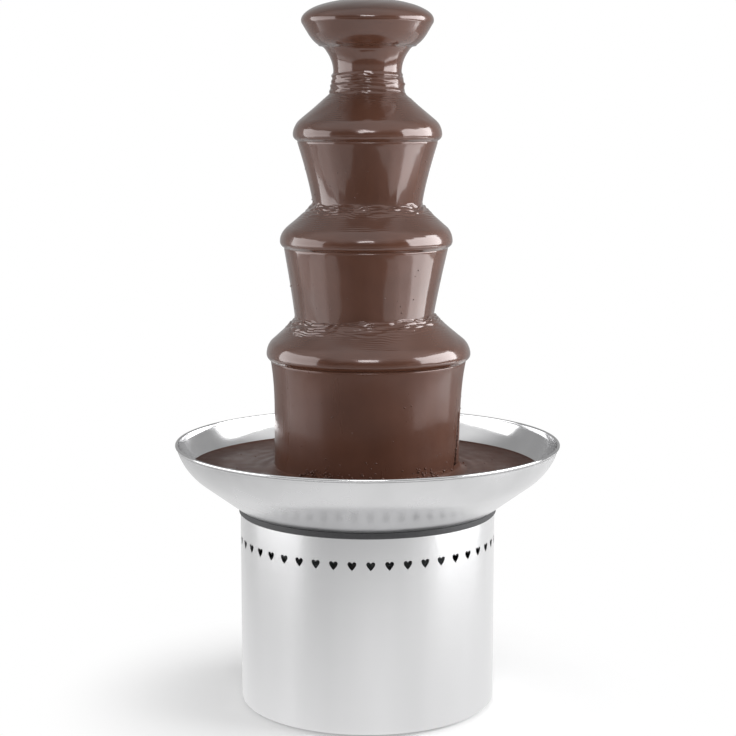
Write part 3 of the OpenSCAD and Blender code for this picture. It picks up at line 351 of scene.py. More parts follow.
PLAIN_FINISHES = {
    "aluminium": dict(
        scale=350, colours=(grey(0.62), grey(0.72)), rough=(0.42, 0.58), relief=(0.0001, 0.4),
        detail=4, grain=0.7, Metallic=1.0),
    "bronze": dict(
        scale=900, colours=((0.47, 0.31, 0.13), (0.6, 0.42, 0.2)), rough=(0.32, 0.45), Metallic=1.0),
    "copper_winding": dict(
        scale=(40, 40, 1400), colours=((0.36, 0.13, 0.05), (0.62, 0.28, 0.12)), rough=(0.25, 0.4),
        relief=(0.0002, 0.5), detail=2, Metallic=1.0),
    "brass_contact": dict(
        scale=300, colours=((0.56, 0.42, 0.16), (0.68, 0.54, 0.25)), rough=(0.18, 0.32), Metallic=1.0),
    "gear_resin": dict(
        scale=60, colours=((0.52, 0.43, 0.24), (0.66, 0.56, 0.34)), rough=(0.38, 0.5),
        detail=4, grain=0.6, IOR=1.5),
    "black_rubber": dict(
        scale=500, colours=((0.026, 0.026, 0.028), (0.045, 0.045, 0.048)), rough=(0.45, 0.62),
        relief=(0.00006, 0.4), detail=4, grain=0.7, IOR=1.5),
    "black_plastic": dict(
        scale=1600, colours=((0.018, 0.018, 0.02), (0.03, 0.03, 0.033)), rough=(0.36, 0.5),
        relief=(0.00008, 0.35), detail=2, IOR=1.5),
    "red_rocker": dict(
        scale=220, colours=((0.42, 0.015, 0.012), (0.55, 0.028, 0.02)), rough=(0.2, 0.32),
        IOR=1.5, Coat_Weight=0.3),
    "lamp_amber": dict(
        scale=400, colours=((0.62, 0.15, 0.02), (0.8, 0.27, 0.05)), rough=(0.12, 0.2), detail=2,
        IOR=1.49, Coat_Weight=0.5, Emission_Strength=0.35, Emission_Color=(0.9, 0.25, 0.04, 1)),
    "insulation": dict(
        scale=(500, 500, 1500), colours=((0.66, 0.61, 0.5), (0.82, 0.79, 0.7)), rough=(0.85, 0.98),
        relief=(0.0006, 0.6), detail=5, grain=0.7, distortion=1.0),
    "mark_ink": dict(scale=700, colours=(grey(0.66), grey(0.78)), rough=(0.4, 0.55), IOR=1.5)}

WARM_GLOSS = (1.0, 0.8, 0.8, 1.0)
DEEP_BROWN = np.array([0.073, 0.0305, 0.019])
BROWN = np.array([0.092, 0.039, 0.0245])


def melted_chocolate(name="melted_chocolate", rough=(0.15, 0.25), level=0.42, coat=0.75, coat_rough=0.06,
                     tone=1.0):
    """Glossy brown with faint drawn-out streaks along the fall. A tone below 1 darkens the brown as painted
    shade.
    """
    finish = Finish(name, IOR=1.5, Specular_IOR_Level=level, Specular_Tint=WARM_GLOSS,
                    Coat_Weight=coat, Coat_Roughness=coat_rough)
    streak = finish.noise((70, 70, 9), detail=4, roughness=0.55, distortion=0.4)
    cloud = finish.noise(22, detail=2)
    finish.colour(cloud, tone * DEEP_BROWN, tone * BROWN)
    finish.roughness(streak, *rough)
    finish.bump(streak, distance=0.0002, strength=0.08)
    return finish.material


FINISHES = {make.__name__: make() for make in (polished_steel, satin_steel, zinc_steel, melted_chocolate)}
FINISHES |= {name: plain_finish(name, **values) for name, values in PLAIN_FINISHES.items()}
SOFT_STEEL = polished_steel("soft_steel", rough=(0.19, 0.29))
POOL_CHOCOLATE = melted_chocolate("pool_chocolate", rough=(0.36, 0.46), level=0.12, coat=0.0)
FOAMY_CHOCOLATE = melted_chocolate(
    "foamy_chocolate", rough=(0.26, 0.36), level=0.34, coat=0.2, coat_rough=0.16)
# A darker, duller copy of the chocolate: painted shade for the hollow of the lowest curtain's parting
SHADED_CHOCOLATE = melted_chocolate(
    "shaded_chocolate", rough=(0.45, 0.55), level=0.05, coat=0.0, coat_rough=0.16, tone=0.35)


def dress_solids():
    """Gives every solid the finish of its slot."""
    for part in frame["record"]["subparts"]:
        obj = frame["nodes"][part["node"]]
        obj.data.materials.clear()
        obj.data.materials.append(FINISHES[part["material_slot"]])


# Bowl: the wall follows the solid's, and the bead on the rim is finer than the solid's

BOWL_WALL = 1.2
SOLID_BEAD_R = 2.6
BEAD_R = 1.4
BEAD_FROM = -110
BEAD_TO = 180
DOWN = -90
RIM_SLOPE = 72
WALL_SLOPE = 36.5
BOWL_BEND_R = 60.0
BOWL_TOE_R = 20.0
BOWL_HUB_R = 12.25
BOWL_BEND_ROWS = 24
BOWL_TOE_ROWS = 8
BOWL_FLOOR_ROWS = 12
BEAD_ROWS = 30


class BowlShape:
    """Where the bowl's wall runs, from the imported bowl."""

    def __init__(self):
        low, high = box_mm("bowl")
        self.under = low.z
        self.radius = (high.x - low.x) / 2
        self.bead = (round(self.radius) - BEAD_R, high.z - BEAD_R)
        end = (round(self.radius) - SOLID_BEAD_R + BOWL_WALL / 2, high.z - 2 * SOLID_BEAD_R)
        rim, wall = math.radians(RIM_SLOPE), math.radians(WALL_SLOPE)
        self.bend = (end[0] - BOWL_BEND_R * math.sin(rim), end[1] + BOWL_BEND_R * math.cos(rim))
        start = (self.bend[0] + BOWL_BEND_R * math.sin(wall), self.bend[1] - BOWL_BEND_R * math.cos(wall))
        at_under = start[0] + (self.under - start[1]) / math.tan(wall)
        self.toe = (at_under - BOWL_TOE_R * math.tan(wall / 2), self.under + BOWL_TOE_R)

    def wall(self, off):
        """Outline of the wall from the floor to the bead, moved inwards from the outer face."""
        return np.concatenate([
            arc(self.toe, BOWL_TOE_R - off, DOWN, DOWN + WALL_SLOPE, BOWL_TOE_ROWS),
            arc(self.bend, BOWL_BEND_R - off, DOWN + WALL_SLOPE, DOWN + RIM_SLOPE, BOWL_BEND_ROWS)])

    def radius_at(self, z, off):
        """Radius of the bent part of the wall at a height, moved inwards from the outer face."""
        return self.bend[0] + np.sqrt((BOWL_BEND_R - off) ** 2 - (self.bend[1] - z) ** 2)


BOWL = BowlShape()


def make_bowl():
    """Spun bowl with a bead on its rim, bright inside and softer outside."""
    outside = BOWL.wall(0)
    inside = BOWL.wall(BOWL_WALL)[::-1]
    bead = arc(BOWL.bead, BEAD_R, BEAD_FROM, BEAD_TO, BEAD_ROWS)
    under = line((BOWL_HUB_R, BOWL.under), outside[0], BOWL_FLOOR_ROWS)[:-1]
    floor = line(inside[-1], (BOWL_HUB_R, BOWL.under + BOWL_WALL), BOWL_FLOOR_ROWS)[1:]
    loop = np.concatenate([under, outside, bead, inside, floor])
    piece = turned("bowl_shell", *grids(loop), FINISHES["polished_steel"])
    slots = np.zeros(len(piece.data.polygons), dtype=np.int32)
    slots[:(len(under) + len(outside)) * SEGMENTS] = 1
    paint(piece, slots, SOFT_STEEL)
    settle(piece, "bowl")


# Uneven surfaces of the chocolate

WAVE_SHARES = (0.6, 1.0)


class Waves:
    """Smooth uneven waves: their size, their orders round the axis, their lengths along a path and a seed."""

    def __init__(self, size, orders, lengths=None, seed=0):
        self.size = size
        self.orders = orders
        self.lengths = lengths
        self.seed = seed

    def ring(self, phi, seed=0):
        """Waves round the axis alone, mostly between minus and plus their size."""
        rng = np.random.default_rng(self.seed + seed)
        total = np.zeros_like(phi)
        for order in self.orders:
            total = total + rng.uniform(*WAVE_SHARES) * np.sin(order * phi + rng.uniform(0, math.tau))
        return self.size * (total / math.sqrt(len(self.orders)))

    def field(self, phi, along, seed=0):
        """Waves over the angle and a distance, mostly between minus and plus their size."""
        rng = np.random.default_rng(self.seed + seed)
        total = np.zeros_like(phi + along)
        for order, length in zip(self.orders, self.lengths):
            turn = math.tau * along / length * rng.choice([-1, 1])
            total = total + rng.uniform(*WAVE_SHARES) * np.sin(order * phi + turn + rng.uniform(0, math.tau))
        return self.size * (total / math.sqrt(len(self.orders)))


FOLD_LAYERS = 3
FOLD_PITCH = 3.9
FOLD_WIDENING = 0.3
FOLD_POWER = 0.8
FOLD_WANDER = Waves(0.9, (1, 2, 3, 5))
FOLD_SHAKE = Waves(0.25, (8, 11, 17), seed=10)
FOLD_PATCHES = Waves(1, (3, 5, 9, 14), (18, 25, 14, 30), seed=20)
FOLD_PATCH_RANGE = (-0.7, 0.9)

WRINKLE_PITCH = 3.1
WRINKLE_WANDER = Waves(1.3, (2, 3, 5, 8), seed=30)
WRINKLE_SHAKE = Waves(0.35, (11, 16, 23), seed=31)
WRINKLE_PATCHES = Waves(1, (2, 3, 5, 7), (40, 55, 30, 70), seed=32)
WRINKLE_PATCH_RANGE = (0.0, 0.9)

RIPPLE_PITCH = 2.7
RIPPLE_LEAST = 0.3
RIPPLE_PATCHES = Waves(1, (2, 3, 5, 8), (40, 60, 35, 50), seed=40)
RIPPLE_PATCH_RANGE = (-0.5, 0.8)
RIPPLE_WANDER = Waves(0.7, (1, 2, 3, 5, 7), seed=50)


def ropes(run, pitch, wander, power):
    """Ropes side by side along a path, between 0 and 1."""
    return np.abs(np.cos(math.pi * (run / pitch + wander))) ** power


def folds(phi, run, seed):
    """Rope-like folds that lie over one another where a curtain lands, between 0 and 1."""
    top = np.zeros_like(phi + run)
    for k in range(FOLD_LAYERS):
        pitch = FOLD_PITCH * (1 + FOLD_WIDENING * k)
        wander = FOLD_WANDER.ring(phi, seed + k) + FOLD_SHAKE.ring(phi, seed + k)
        weight = smooth(*FOLD_PATCH_RANGE, FOLD_PATCHES.field(phi, run, seed + k))
        top = np.maximum(top, ropes(run, pitch, wander, FOLD_POWER) * weight)
    return top


def wrinkles(phi, run, seed):
    """Fine wavering wrinkles below the folds, between -1 and 1, in patches."""
    wander = WRINKLE_WANDER.ring(phi, seed) + WRINKLE_SHAKE.ring(phi, seed)
    patch = smooth(*WRINKLE_PATCH_RANGE, WRINKLE_PATCHES.field(phi, run, seed))
    return patch * np.cos(math.tau * (run / WRINKLE_PITCH + wander))


def ripples(phi, run, seed):
    """Rings of ripples on a film, between -1 and 1, and weaker outside their patches."""
    patch = smooth(*RIPPLE_PATCH_RANGE, RIPPLE_PATCHES.field(phi, run, seed))
    strength = RIPPLE_LEAST + (1 - RIPPLE_LEAST) * patch
    return strength * np.sin(math.tau * (run / RIPPLE_PITCH + RIPPLE_WANDER.ring(phi, seed)))


# Chocolate on the tiers

POOL_Z = box_mm("chocolate_pool")[1].z
CURTAIN_DROP = 8.0
CURTAIN_OVERLAP = 1.0
FOOT_INSET = 3.5
FILM_TURN = 50
LIP_TURN = 60
CREASE = 0.5
SLIDE_REACH = 30.0
EDGE_ROWS = 22
LIP_ROWS = 10


class Tier:
    """Outline of the film on one dish and of the curtain that falls from it.
    The curtain above lands at a radius. This curtain's foot dips below the place where it lands, and a
    higher draw pulls it in sooner. The shifts are to the right: at the landing, the edge and the foot."""

    def __init__(self, node, lands_at, foot, dip, draw, shifts):
        low, high = box_mm(node)
        self.r = round((high.x - low.x) / 2)
        rise = EDGE_R * math.cos(TIER_SLOPE)
        run = self.r - EDGE_R + EDGE_R * math.sin(TIER_SLOPE) - COLLAR_MID_R
        self.z = high.z - rise - run * math.tan(TIER_SLOPE)
        self.landing = (lands_at, self.height(lands_at))
        self.top_r, self.top_z = self.r - LIP_R / 2, self.z - CURTAIN_DROP
        self.foot_r, self.foot_z = foot[0], foot[1] - dip
        self.draw = draw
        self.land_shift, self.edge_shift, self.foot_shift = shifts

    def cone_start(self, off):
        """Where the sloping part of the dish meets the round of its edge."""
        return (self.r - EDGE_R + (EDGE_R + off) * math.sin(TIER_SLOPE),
                self.z + (EDGE_R + off) * math.cos(TIER_SLOPE))

    def height(self, r, off=FILM_OFF):
        """Height of the film on the sloping part of the dish."""
        start = self.cone_start(off)
        return start[1] + (start[0] - r) * math.tan(TIER_SLOPE)

    def dome(self, off, from_r, lip_turn, count):
        """Outline along the dish from a radius, over the edge and round the lip."""
        start = self.cone_start(off)
        return np.concatenate([
            line((from_r, self.height(from_r, off)), start, count)[:-1],
            arc((self.r - EDGE_R, self.z), EDGE_R + off, 90 - math.degrees(TIER_SLOPE), 0, EDGE_ROWS)[:-1],
            arc((self.r - LIP_R, self.z), LIP_R + off, 0, -lip_turn, LIP_ROWS)])

    def curtain_r(self, z):
        """Radius of the curtain at a height."""
        share = np.clip((self.top_z - z) / (self.top_z - self.foot_z), 0, 1)
        return self.foot_r + (self.top_r - self.foot_r) * (1 - share) ** self.draw

    def slide(self, z):
        """Sideways shift at a height: none high on the dish, more at its edge, most at the curtain's foot."""
        fall = np.clip((self.z - z) / (self.z - self.foot_z), 0, 1)
        edge = self.edge_shift * (1 - smooth(self.z, self.z + SLIDE_REACH, z))
        return edge + (self.foot_shift - self.edge_shift) * fall


LOWER = Tier("lower_tier", lands_at=67.5, foot=(91.5, POOL_Z), dip=2.0, draw=4.5, shifts=(-3.4, 1.0, -1.0))
MIDDLE = Tier("middle_tier", lands_at=53.0, foot=LOWER.landing, dip=5.0, draw=1.15, shifts=(0.0, -1.2, -3.4))
UPPER = Tier("upper_tier", lands_at=36.2, foot=MIDDLE.landing, dip=2.0, draw=1.3, shifts=(0.0, 0.0, 0.0))

LANDING_ROWS = 44
LANDING_ROW = 20
LANDING_TUCK = 0.5
FILM_ROWS = 40
GROOVE_ROWS = 14
CURTAIN_ROWS = 110
INNER_ROWS = 24
UNDER_ROWS = 12

# Where the unevenness lies, by the distance from the landing or the curtain's top. Folds and wrinkles have
# a middle and a width, and the others begin or end softly between two distances.
FOLD_ZONE = (4, 8.5)
WRINKLE_ZONE = (10, 9)
WRINKLE_SHARE = 0.3
FILM_BEGINS = (2, 8)
FILM_ENDS = (-20, -8)
RIPPLES_FULL_TO = 8
RIPPLES_FADE = 9
FAR_RIPPLE_SHARE = 0.25
RIM_BEGINS = (-34, -20)
CURTAIN_BEGINS = (-4, 12)
SHIFT_FADES = (10, 30)
FILM_WAVES = Waves(0.10, (4, 7, 11, 17), (30, 22, 40, 26), seed=55)
RIM_WAVES = Waves(0.07, (9, 14, 23, 31), (17, 22, 13, 19), seed=60)
CURTAIN_WAVES = Waves(0.09, (5, 9, 14, 22, 33), (420, 360, 600, 320, 390), seed=70)
CURTAIN_GRAIN = Waves(0.012, (7, 11, 16), (34, 41, 28), seed=80)


def landing_round(corner, slope, size, up, out):
    """Hollow round where a curtain lands: from the curtain at up to the film at out, both in fillet sizes."""
    t = np.linspace(-math.log(up), math.log(out), LANDING_ROWS)
    share = (t - t[0]) / (t[-1] - t[0])
    along = size * (np.exp(t) - np.exp(t[0]) * (1 - share)) - LANDING_TUCK * (1 - share)
    rise = size * (np.exp(-t) - np.exp(-t[-1]) * share)
    return np.stack([corner[0] + along * math.cos(slope), corner[1] + rise - along * math.sin(slope)], axis=1)


def tier_outlines(tier, hollow_size):
    """Outlines of the film with its groove, of the curtain's outer and inner face, and of what is hidden."""
    hollow = landing_round(tier.landing, TIER_SLOPE, hollow_size, up=5, out=7)
    dome = tier.dome(FILM_OFF, hollow[-1, 0], FILM_TURN, FILM_ROWS)[1:]
    curtain_z = np.linspace(tier.top_z + CURTAIN_OVERLAP, tier.foot_z, CURTAIN_ROWS)
    curtain = np.stack([tier.curtain_r(curtain_z), curtain_z], axis=1)
    lip_way = math.radians(DOWN - FILM_TURN)
    corner = meeting(dome[-1], (math.cos(lip_way), math.sin(lip_way)), curtain[0], curtain[0] - curtain[1])
    groove = bend(dome[-1], corner - [CREASE, 0], curtain[0], GROOVE_ROWS)[1:-1]
    inner_z = np.linspace(tier.foot_z, tier.top_z, INNER_ROWS)
    inner = np.stack([tier.curtain_r(inner_z) - CURTAIN_T, inner_z], axis=1)
    under = tier.dome(FILM_GAP, FILM_START_R, LIP_TURN, UNDER_ROWS)[::-1]
    deep_r = tier.landing[0] - FOOT_INSET
    top = [[FILM_START_R, tier.height(FILM_START_R)], [deep_r, tier.height(deep_r)]]
    return np.concatenate([hollow, dome, groove]), curtain, inner, np.concatenate([under, top])


def tier_relief(phi, path, run, to_curtain, seed, fold_size, ripple_size):
    """How far the folds, wrinkles, ripples and waves lift the film and the curtain."""
    on_curtain = smooth(*CURTAIN_BEGINS, to_curtain)
    on_rim = smooth(*RIM_BEGINS, to_curtain) * (1 - on_curtain)
    on_film = smooth(*FILM_BEGINS, run) * (1 - smooth(*FILM_ENDS, to_curtain))
    high_up = on_film * np.exp(-np.maximum(run - RIPPLES_FULL_TO, 0) / RIPPLES_FADE)
    wrinkle_size = WRINKLE_SHARE * fold_size
    return (fold_size * hump(*FOLD_ZONE, run) * folds(phi, run, seed)
            + wrinkle_size * hump(*WRINKLE_ZONE, run) * wrinkles(phi, run, seed)
            + ripple_size * (FAR_RIPPLE_SHARE * on_film + high_up) * ripples(phi, run, seed)
            + on_film * FILM_WAVES.field(phi, run, seed)
            + on_rim * RIM_WAVES.field(phi, path, seed)
            + on_curtain * CURTAIN_WAVES.field(phi, to_curtain, seed)
            + on_curtain * CURTAIN_GRAIN.field(phi, to_curtain, seed))


def make_tier(name, node, tier, seed, hollow_size, fold_size, ripple_size, parting=None):
    """Film over one tier with the folds of the curtain that lands on it, and the curtain that falls from it.
    A curtain with a parting is foamy, with painted shade deep in the parting."""
    film, curtain, inner, hidden = tier_outlines(tier, hollow_size)
    outer = np.concatenate([film, curtain])
    count = len(outer)
    phi = angles()[None, :]
    path = distances(outer)[:, None]
    run = path - path[LANDING_ROW]
    to_curtain = path - path[len(film)]
    lift = tier_relief(phi, path, run, to_curtain, seed, fold_size, ripple_size)
    if parting is not None:
        parted = smooth(*CURTAIN_BEGINS, to_curtain) * parting(phi, outer[:, 1:])
        lift = lift + parted
    r, z = lifted_grids(outer, np.concatenate([inner, hidden]), lift)
    if parting is not None:
        r[count:count + len(inner)] += np.minimum(parting(phi, inner[:, 1:]), 0)
    reach = tier.land_shift * np.sin(phi) * (1 - smooth(*SHIFT_FADES, run)) * (to_curtain < 0)
    r[:count] += reach
    z[:count] -= reach * math.tan(TIER_SLOPE)
    piece = turned(name, r, z, FINISHES["melted_chocolate"], slide=tier.slide(z))
    if parting is not None:
        slots = np.zeros(len(piece.data.polygons), dtype=np.int32)
        slots[len(film) * SEGMENTS:count * SEGMENTS] = 1
        # Faces deep in the parting take the darker copy of the chocolate as painted shade
        slots[:count * SEGMENTS][(parted < -SLIT_SHADE_DEPTH).ravel()] = 2
        paint(piece, slots, FOAMY_CHOCOLATE, SHADED_CHOCOLATE)
    settle(piece, node)


SLIT_H = 66
SLIT_FADE = 22
SLIT_PLACE = 65
SLIT_LEAN = 9
SLIT_EDGE = 1.4
SLIT_EDGE_W = 5.0
SLIT_DEPTH = 5.0
SLIT_SHADE_DEPTH = SLIT_DEPTH / 4
SLIT_W = 8.0


def slit(phi, z):
    """Narrow parting with a raised edge, low on the right of the lowest curtain."""
    share = np.clip((z - POOL_Z) / SLIT_H, 0, 1)
    place = np.radians(SLIT_PLACE + SLIT_LEAN * share)
    off = np.arctan2(np.sin(phi - place), np.cos(phi - place)) * LOWER.foot_r
    zone = 1 - smooth(POOL_Z + SLIT_H - SLIT_FADE, POOL_Z + SLIT_H, z)
    edge = SLIT_EDGE * np.exp(np.minimum(off, 0) / SLIT_EDGE_W) * (off < 0)
    hollow = SLIT_DEPTH * (1 - smooth(SLIT_W, 2 * SLIT_W, off)) * (off >= 0)
    return zone * (edge - hollow)


# Crown

DOME_H = 20.5
DOME_FROM = 88.5
# Points under the cap, from the outer edge of the crown's floor: out and up
CAP_EDGE = (10.4, 11.0)
CAP_CORNER = (3.9, 1.3)
CAP_SHELF = (-2.4, -0.7)
SHELF_CORNER = (-5.0, -1.6)
NECK_DROP = 5.2
NECK_SINK = 1.6
NECK_R = 33.0
NECK_FLARE = 6.6
NECK_FLARE_POWER = 2.3
NECK_BLEND = 4
ROPE_TOP = 19.0
ROPE_BLEND = 3
ROPE_SWELL = 2.8
ROPE_SWELL_POWER = 1.2
CAP_INSET = 6
CAP_POLE_SHARE = 1 / 8
CAP_DOME_ROWS = 46
CAP_LIP_ROWS = 12
CAP_SIDE_ROWS = 10
CAP_UNDER_ROWS = 18
SHELF_ROWS = 12
NECK_ROWS = 130
NECK_INNER_STEP = 6

# Ropes that lie round the neck, with a second layer across them
ROPE_H = 2.1
ROPE_PITCH = 4.9
ROPE_POWER = 0.55
ROPE_SWAY = Waves(0.45, (1, 2, 3), seed=5)
ROPE_SHAKE = Waves(0.08, (5, 8, 13), seed=6)
CROSS_SHARE = 0.8
CROSS_PITCH = 1.5 * ROPE_PITCH
CROSS_POWER = 0.7
CROSS_SWAY = Waves(0.6, (1, 2, 4), seed=15)
CROSS_SHAKE = Waves(0.1, (6, 9), seed=16)
ROPE_SHARE = 0.75
ROPE_UNEVEN = Waves(0.35, (2, 5, 9), (9, 14, 20), seed=7)
NECK_WAVES = Waves(0.12, (5, 9, 14, 21), (120, 90, 150, 70), seed=8)
CAP_WAVES = Waves(0.05, (3, 7, 12), (30, 22, 17), seed=9)
CAP_WAVES_BEGIN = (6, 30)


def cap_outline(floor_edge, end):
    """Outline from the top of the cap over its lip and back under it to the neck."""
    low, high = box_mm("crown_chocolate")
    dome_r, dome_z = (high.x - low.x) / 2, high.z - DOME_H
    turn = np.radians(np.linspace(DOME_FROM, 0, CAP_DOME_ROWS))
    dome = np.stack([dome_r * np.cos(turn), dome_z + DOME_H * np.sin(turn)], axis=1)
    lip_r = LIP_R + FILM_OFF
    lip = arc((dome_r - lip_r, dome_z), lip_r, 0, math.degrees(CROWN_SLOPE) - 90, CAP_LIP_ROWS)[1:]
    edge, corner, shelf, shelf_corner = floor_edge + (CAP_EDGE, CAP_CORNER, CAP_SHELF, SHELF_CORNER)
    return np.concatenate([
        dome, lip, line(lip[-1], edge, CAP_SIDE_ROWS)[1:], bend(edge, corner, shelf, CAP_UNDER_ROWS)[1:],
        bend(shelf, shelf_corner, end, SHELF_ROWS)[1:-1]])


def neck_outline(start_z, rope_z, foot_z):
    """Outline of the neck, which flares at its top and swells where the ropes pile up."""
    z = np.linspace(start_z, foot_z, NECK_ROWS)
    fall = np.clip((start_z - z) / (start_z - rope_z), 0, 1)
    pile = np.clip((rope_z - z) / (rope_z - foot_z), 0, 1)
    swell = ROPE_SWELL * pile ** ROPE_SWELL_POWER
    return np.stack([NECK_R + NECK_FLARE * (1 - fall) ** NECK_FLARE_POWER + swell, z], axis=1)


def cap_inside(rim_z, floor_r, floor_z):
    """Hidden outline round the crown's sheet and over the auger."""
    slope = math.tan(CROWN_SLOPE)
    wall_w = (CROWN_SHEET + FILM_GAP) / math.sin(CROWN_SLOPE)
    gap_w = FILM_GAP / math.sin(CROWN_SLOPE)
    under_z = floor_z - FILM_GAP
    over_z = floor_z + CROWN_SHEET + FILM_GAP
    top_z = rim_z + FILM_GAP
    auger_z = max(box_mm("auger_core")[1].z, box_mm("auger_flight")[1].z) + FILM_GAP
    bore = TUBE_BORE_R + FILM_GAP
    return np.array([
        [floor_r - CAP_INSET, under_z], [floor_r + gap_w - FILM_GAP / slope, under_z],
        [CROWN_R + gap_w, rim_z], [CROWN_R + gap_w, top_z], [CROWN_R - wall_w, top_z],
        [floor_r - wall_w + (over_z - floor_z) / slope, over_z],
        [bore, over_z], [bore, auger_z], [bore * CAP_POLE_SHARE, auger_z]])


def rope_coils(phi, drop):
    """Ropes round the neck, between 0 and 1."""
    sway = ROPE_SWAY.ring(phi) + ROPE_SHAKE.ring(phi)
    cross = CROSS_SWAY.ring(phi) + CROSS_SHAKE.ring(phi)
    across = ropes(drop, CROSS_PITCH, cross, CROSS_POWER)
    return np.maximum(ropes(drop, ROPE_PITCH, sway, ROPE_POWER), CROSS_SHARE * across)


def make_crown():
    """Cap of chocolate over the crown, and its curtain that coils up like rope on the tier below."""
    rim_z = box_mm("crown")[1].z
    floor_r, floor_z = CROWN_R - CROWN_DEPTH / math.tan(CROWN_SLOPE), rim_z - CROWN_DEPTH
    start_z = floor_z - NECK_DROP
    rope_z = UPPER.landing[1] + ROPE_TOP
    neck = neck_outline(start_z, rope_z, UPPER.landing[1] - NECK_SINK)
    cap = cap_outline(np.array([floor_r, floor_z]), (NECK_R + NECK_FLARE, start_z))
    outer = np.concatenate([cap, neck])
    inner = neck[::-NECK_INNER_STEP] - [CURTAIN_T, 0]

    phi = angles()[None, :]
    height = outer[:, 1:]
    path = distances(outer)[:, None]
    on_neck = 1 - smooth(start_z - NECK_BLEND, start_z, height)
    on_rope = 1 - smooth(rope_z - ROPE_BLEND, rope_z + ROPE_BLEND, height)
    uneven = ROPE_SHARE + ROPE_UNEVEN.field(phi, height)
    lift = on_rope * ROPE_H * rope_coils(phi, rope_z - height) * uneven
    lift = lift + on_neck * NECK_WAVES.field(phi, height)
    lift = lift + (1 - on_neck) * smooth(*CAP_WAVES_BEGIN, path) * CAP_WAVES.field(phi, path)
    r, z = lifted_grids(outer, np.concatenate([inner, cap_inside(rim_z, floor_r, floor_z)]), lift)
    piece = turned("crown_cap", r, z, FINISHES["melted_chocolate"], closed=False)
    settle(piece, "crown_chocolate")


# Pool

POOL_TILT = 1.8
POOL_HOLLOW = 2.2
POOL_EDGE_SHARE = 0.91
POOL_ROWS = 90
POOL_ROW_POWER = 1.5
POOL_WALL_DROP = 2
MENISCUS = 1.1
MENISCUS_W = 2.2
POOL_RING_H = 0.55
POOL_RING_PITCH = 13
POOL_RING_REACH = 20
POOL_SWAY = Waves(1.6, (2, 3, 5, 7), seed=91)
POOL_WAVES = Waves(0.28, (2, 3, 5, 8), (60, 45, 80, 38), seed=92)
# Room that the pool leaves for the tower's tube and foot ring
POOL_HOLE_R = 27.8
FOOT_RING_CLEAR_R = 40.3
FOOT_RING_CLEAR_H = 8.3


def pool_level(r, phi):
    """Height of the pool's surface without the round where the curtain lands."""
    near = np.exp(-np.maximum(r - LOWER.foot_r, 0) / POOL_RING_REACH)
    level = POOL_Z - POOL_TILT * r / BOWL.radius * np.sin(phi)
    level = level + POOL_RING_H * near * np.sin(math.tau * r / POOL_RING_PITCH + POOL_SWAY.ring(phi))
    return level + POOL_WAVES.field(phi, r)


def make_pool():
    """Chocolate in the bowl: flows away from the curtain's foot and climbs a little at the wall."""
    phi = angles()[None, :]
    hollow = landing_round((LOWER.foot_r, 0), 0, POOL_HOLLOW, up=4, out=8)
    edge_z = pool_level(BOWL.radius * POOL_EDGE_SHARE, phi) + MENISCUS
    wall_r = BOWL.radius_at(edge_z, BOWL_WALL + FILM_GAP)
    hollow_r = hollow[:, :1] + 0 * phi
    hollow_z = hollow[:, 1:] + pool_level(hollow_r, phi)
    share = 1 - (1 - np.linspace(0, 1, POOL_ROWS)[1:, None]) ** POOL_ROW_POWER
    open_r = hollow[-1, 0] + (wall_r - hollow[-1, 0]) * share
    open_z = pool_level(open_r, phi) + MENISCUS * np.exp(-(wall_r - open_r) / MENISCUS_W)
    open_z[-1] = edge_z
    wall = BOWL.wall(BOWL_WALL + FILM_GAP)[::-1]
    wall = wall[wall[:, 1] < POOL_Z - POOL_TILT - POOL_WALL_DROP]
    floor = wall[-1, 1]
    over_ring = floor + FOOT_RING_CLEAR_H
    hidden_r, hidden_z = grids(np.concatenate([wall, [
        [FOOT_RING_CLEAR_R, floor], [FOOT_RING_CLEAR_R, over_ring], [POOL_HOLE_R, over_ring],
        [POOL_HOLE_R, POOL_Z], [LOWER.foot_r - FOOT_INSET, POOL_Z]]]))
    r = np.concatenate([hollow_r, open_r, hidden_r])
    z = np.concatenate([hollow_z, open_z, hidden_z])
    piece = turned("pool_surface", r, z, POOL_CHOCOLATE)
    settle(piece, "chocolate_pool")


# Bubbles

CAP_RINGS = 4
CAP_SIDES = 12
CAP_SUNK_RINGS = 0.6
SPECK_R = (0.3, 0.85)
SPECK_SHARES = (0.15, 1)
SPECK_POWER = 1.3
SPECK_TOP = 14
SPECK_SINK = 0.1
SPECK_TILT = 0.1
# Patches of froth: the middle's angle, half the patch's angle and the number of bubbles
FROTH_PATCHES = ((-20, 12, 26), (40, 12, 22), (150, 60, 40))
STRAY_BUBBLES = (0, 180, 24)
FROTH_SEED = 7
FROTH_START = 2.0
FROTH_REACH = 3.2
FROTH_R = (0.5, 1.7)
FROTH_SINK = 0.25
STRAY_REACH = (6, 60)
STRAY_R = (0.4, 0.9)
# Froth that clings to the curtain's foot: the middle's angle and the number of bubbles
CLINGING = ((-20, 60), (40, 50))
CLINGING_SPREAD = 12
CLINGING_FROM = 3
CLINGING_REACH = 3.5
CLINGING_SINK = 0.4
CLINGING_TILT = 0.5
CLINGING_R = (0.5, 1.5)


def around(r, phi, z, slide):
    """Place at a radius, an angle and a height, moved sideways."""
    return (r * math.sin(phi) + slide, -r * math.cos(phi), z)


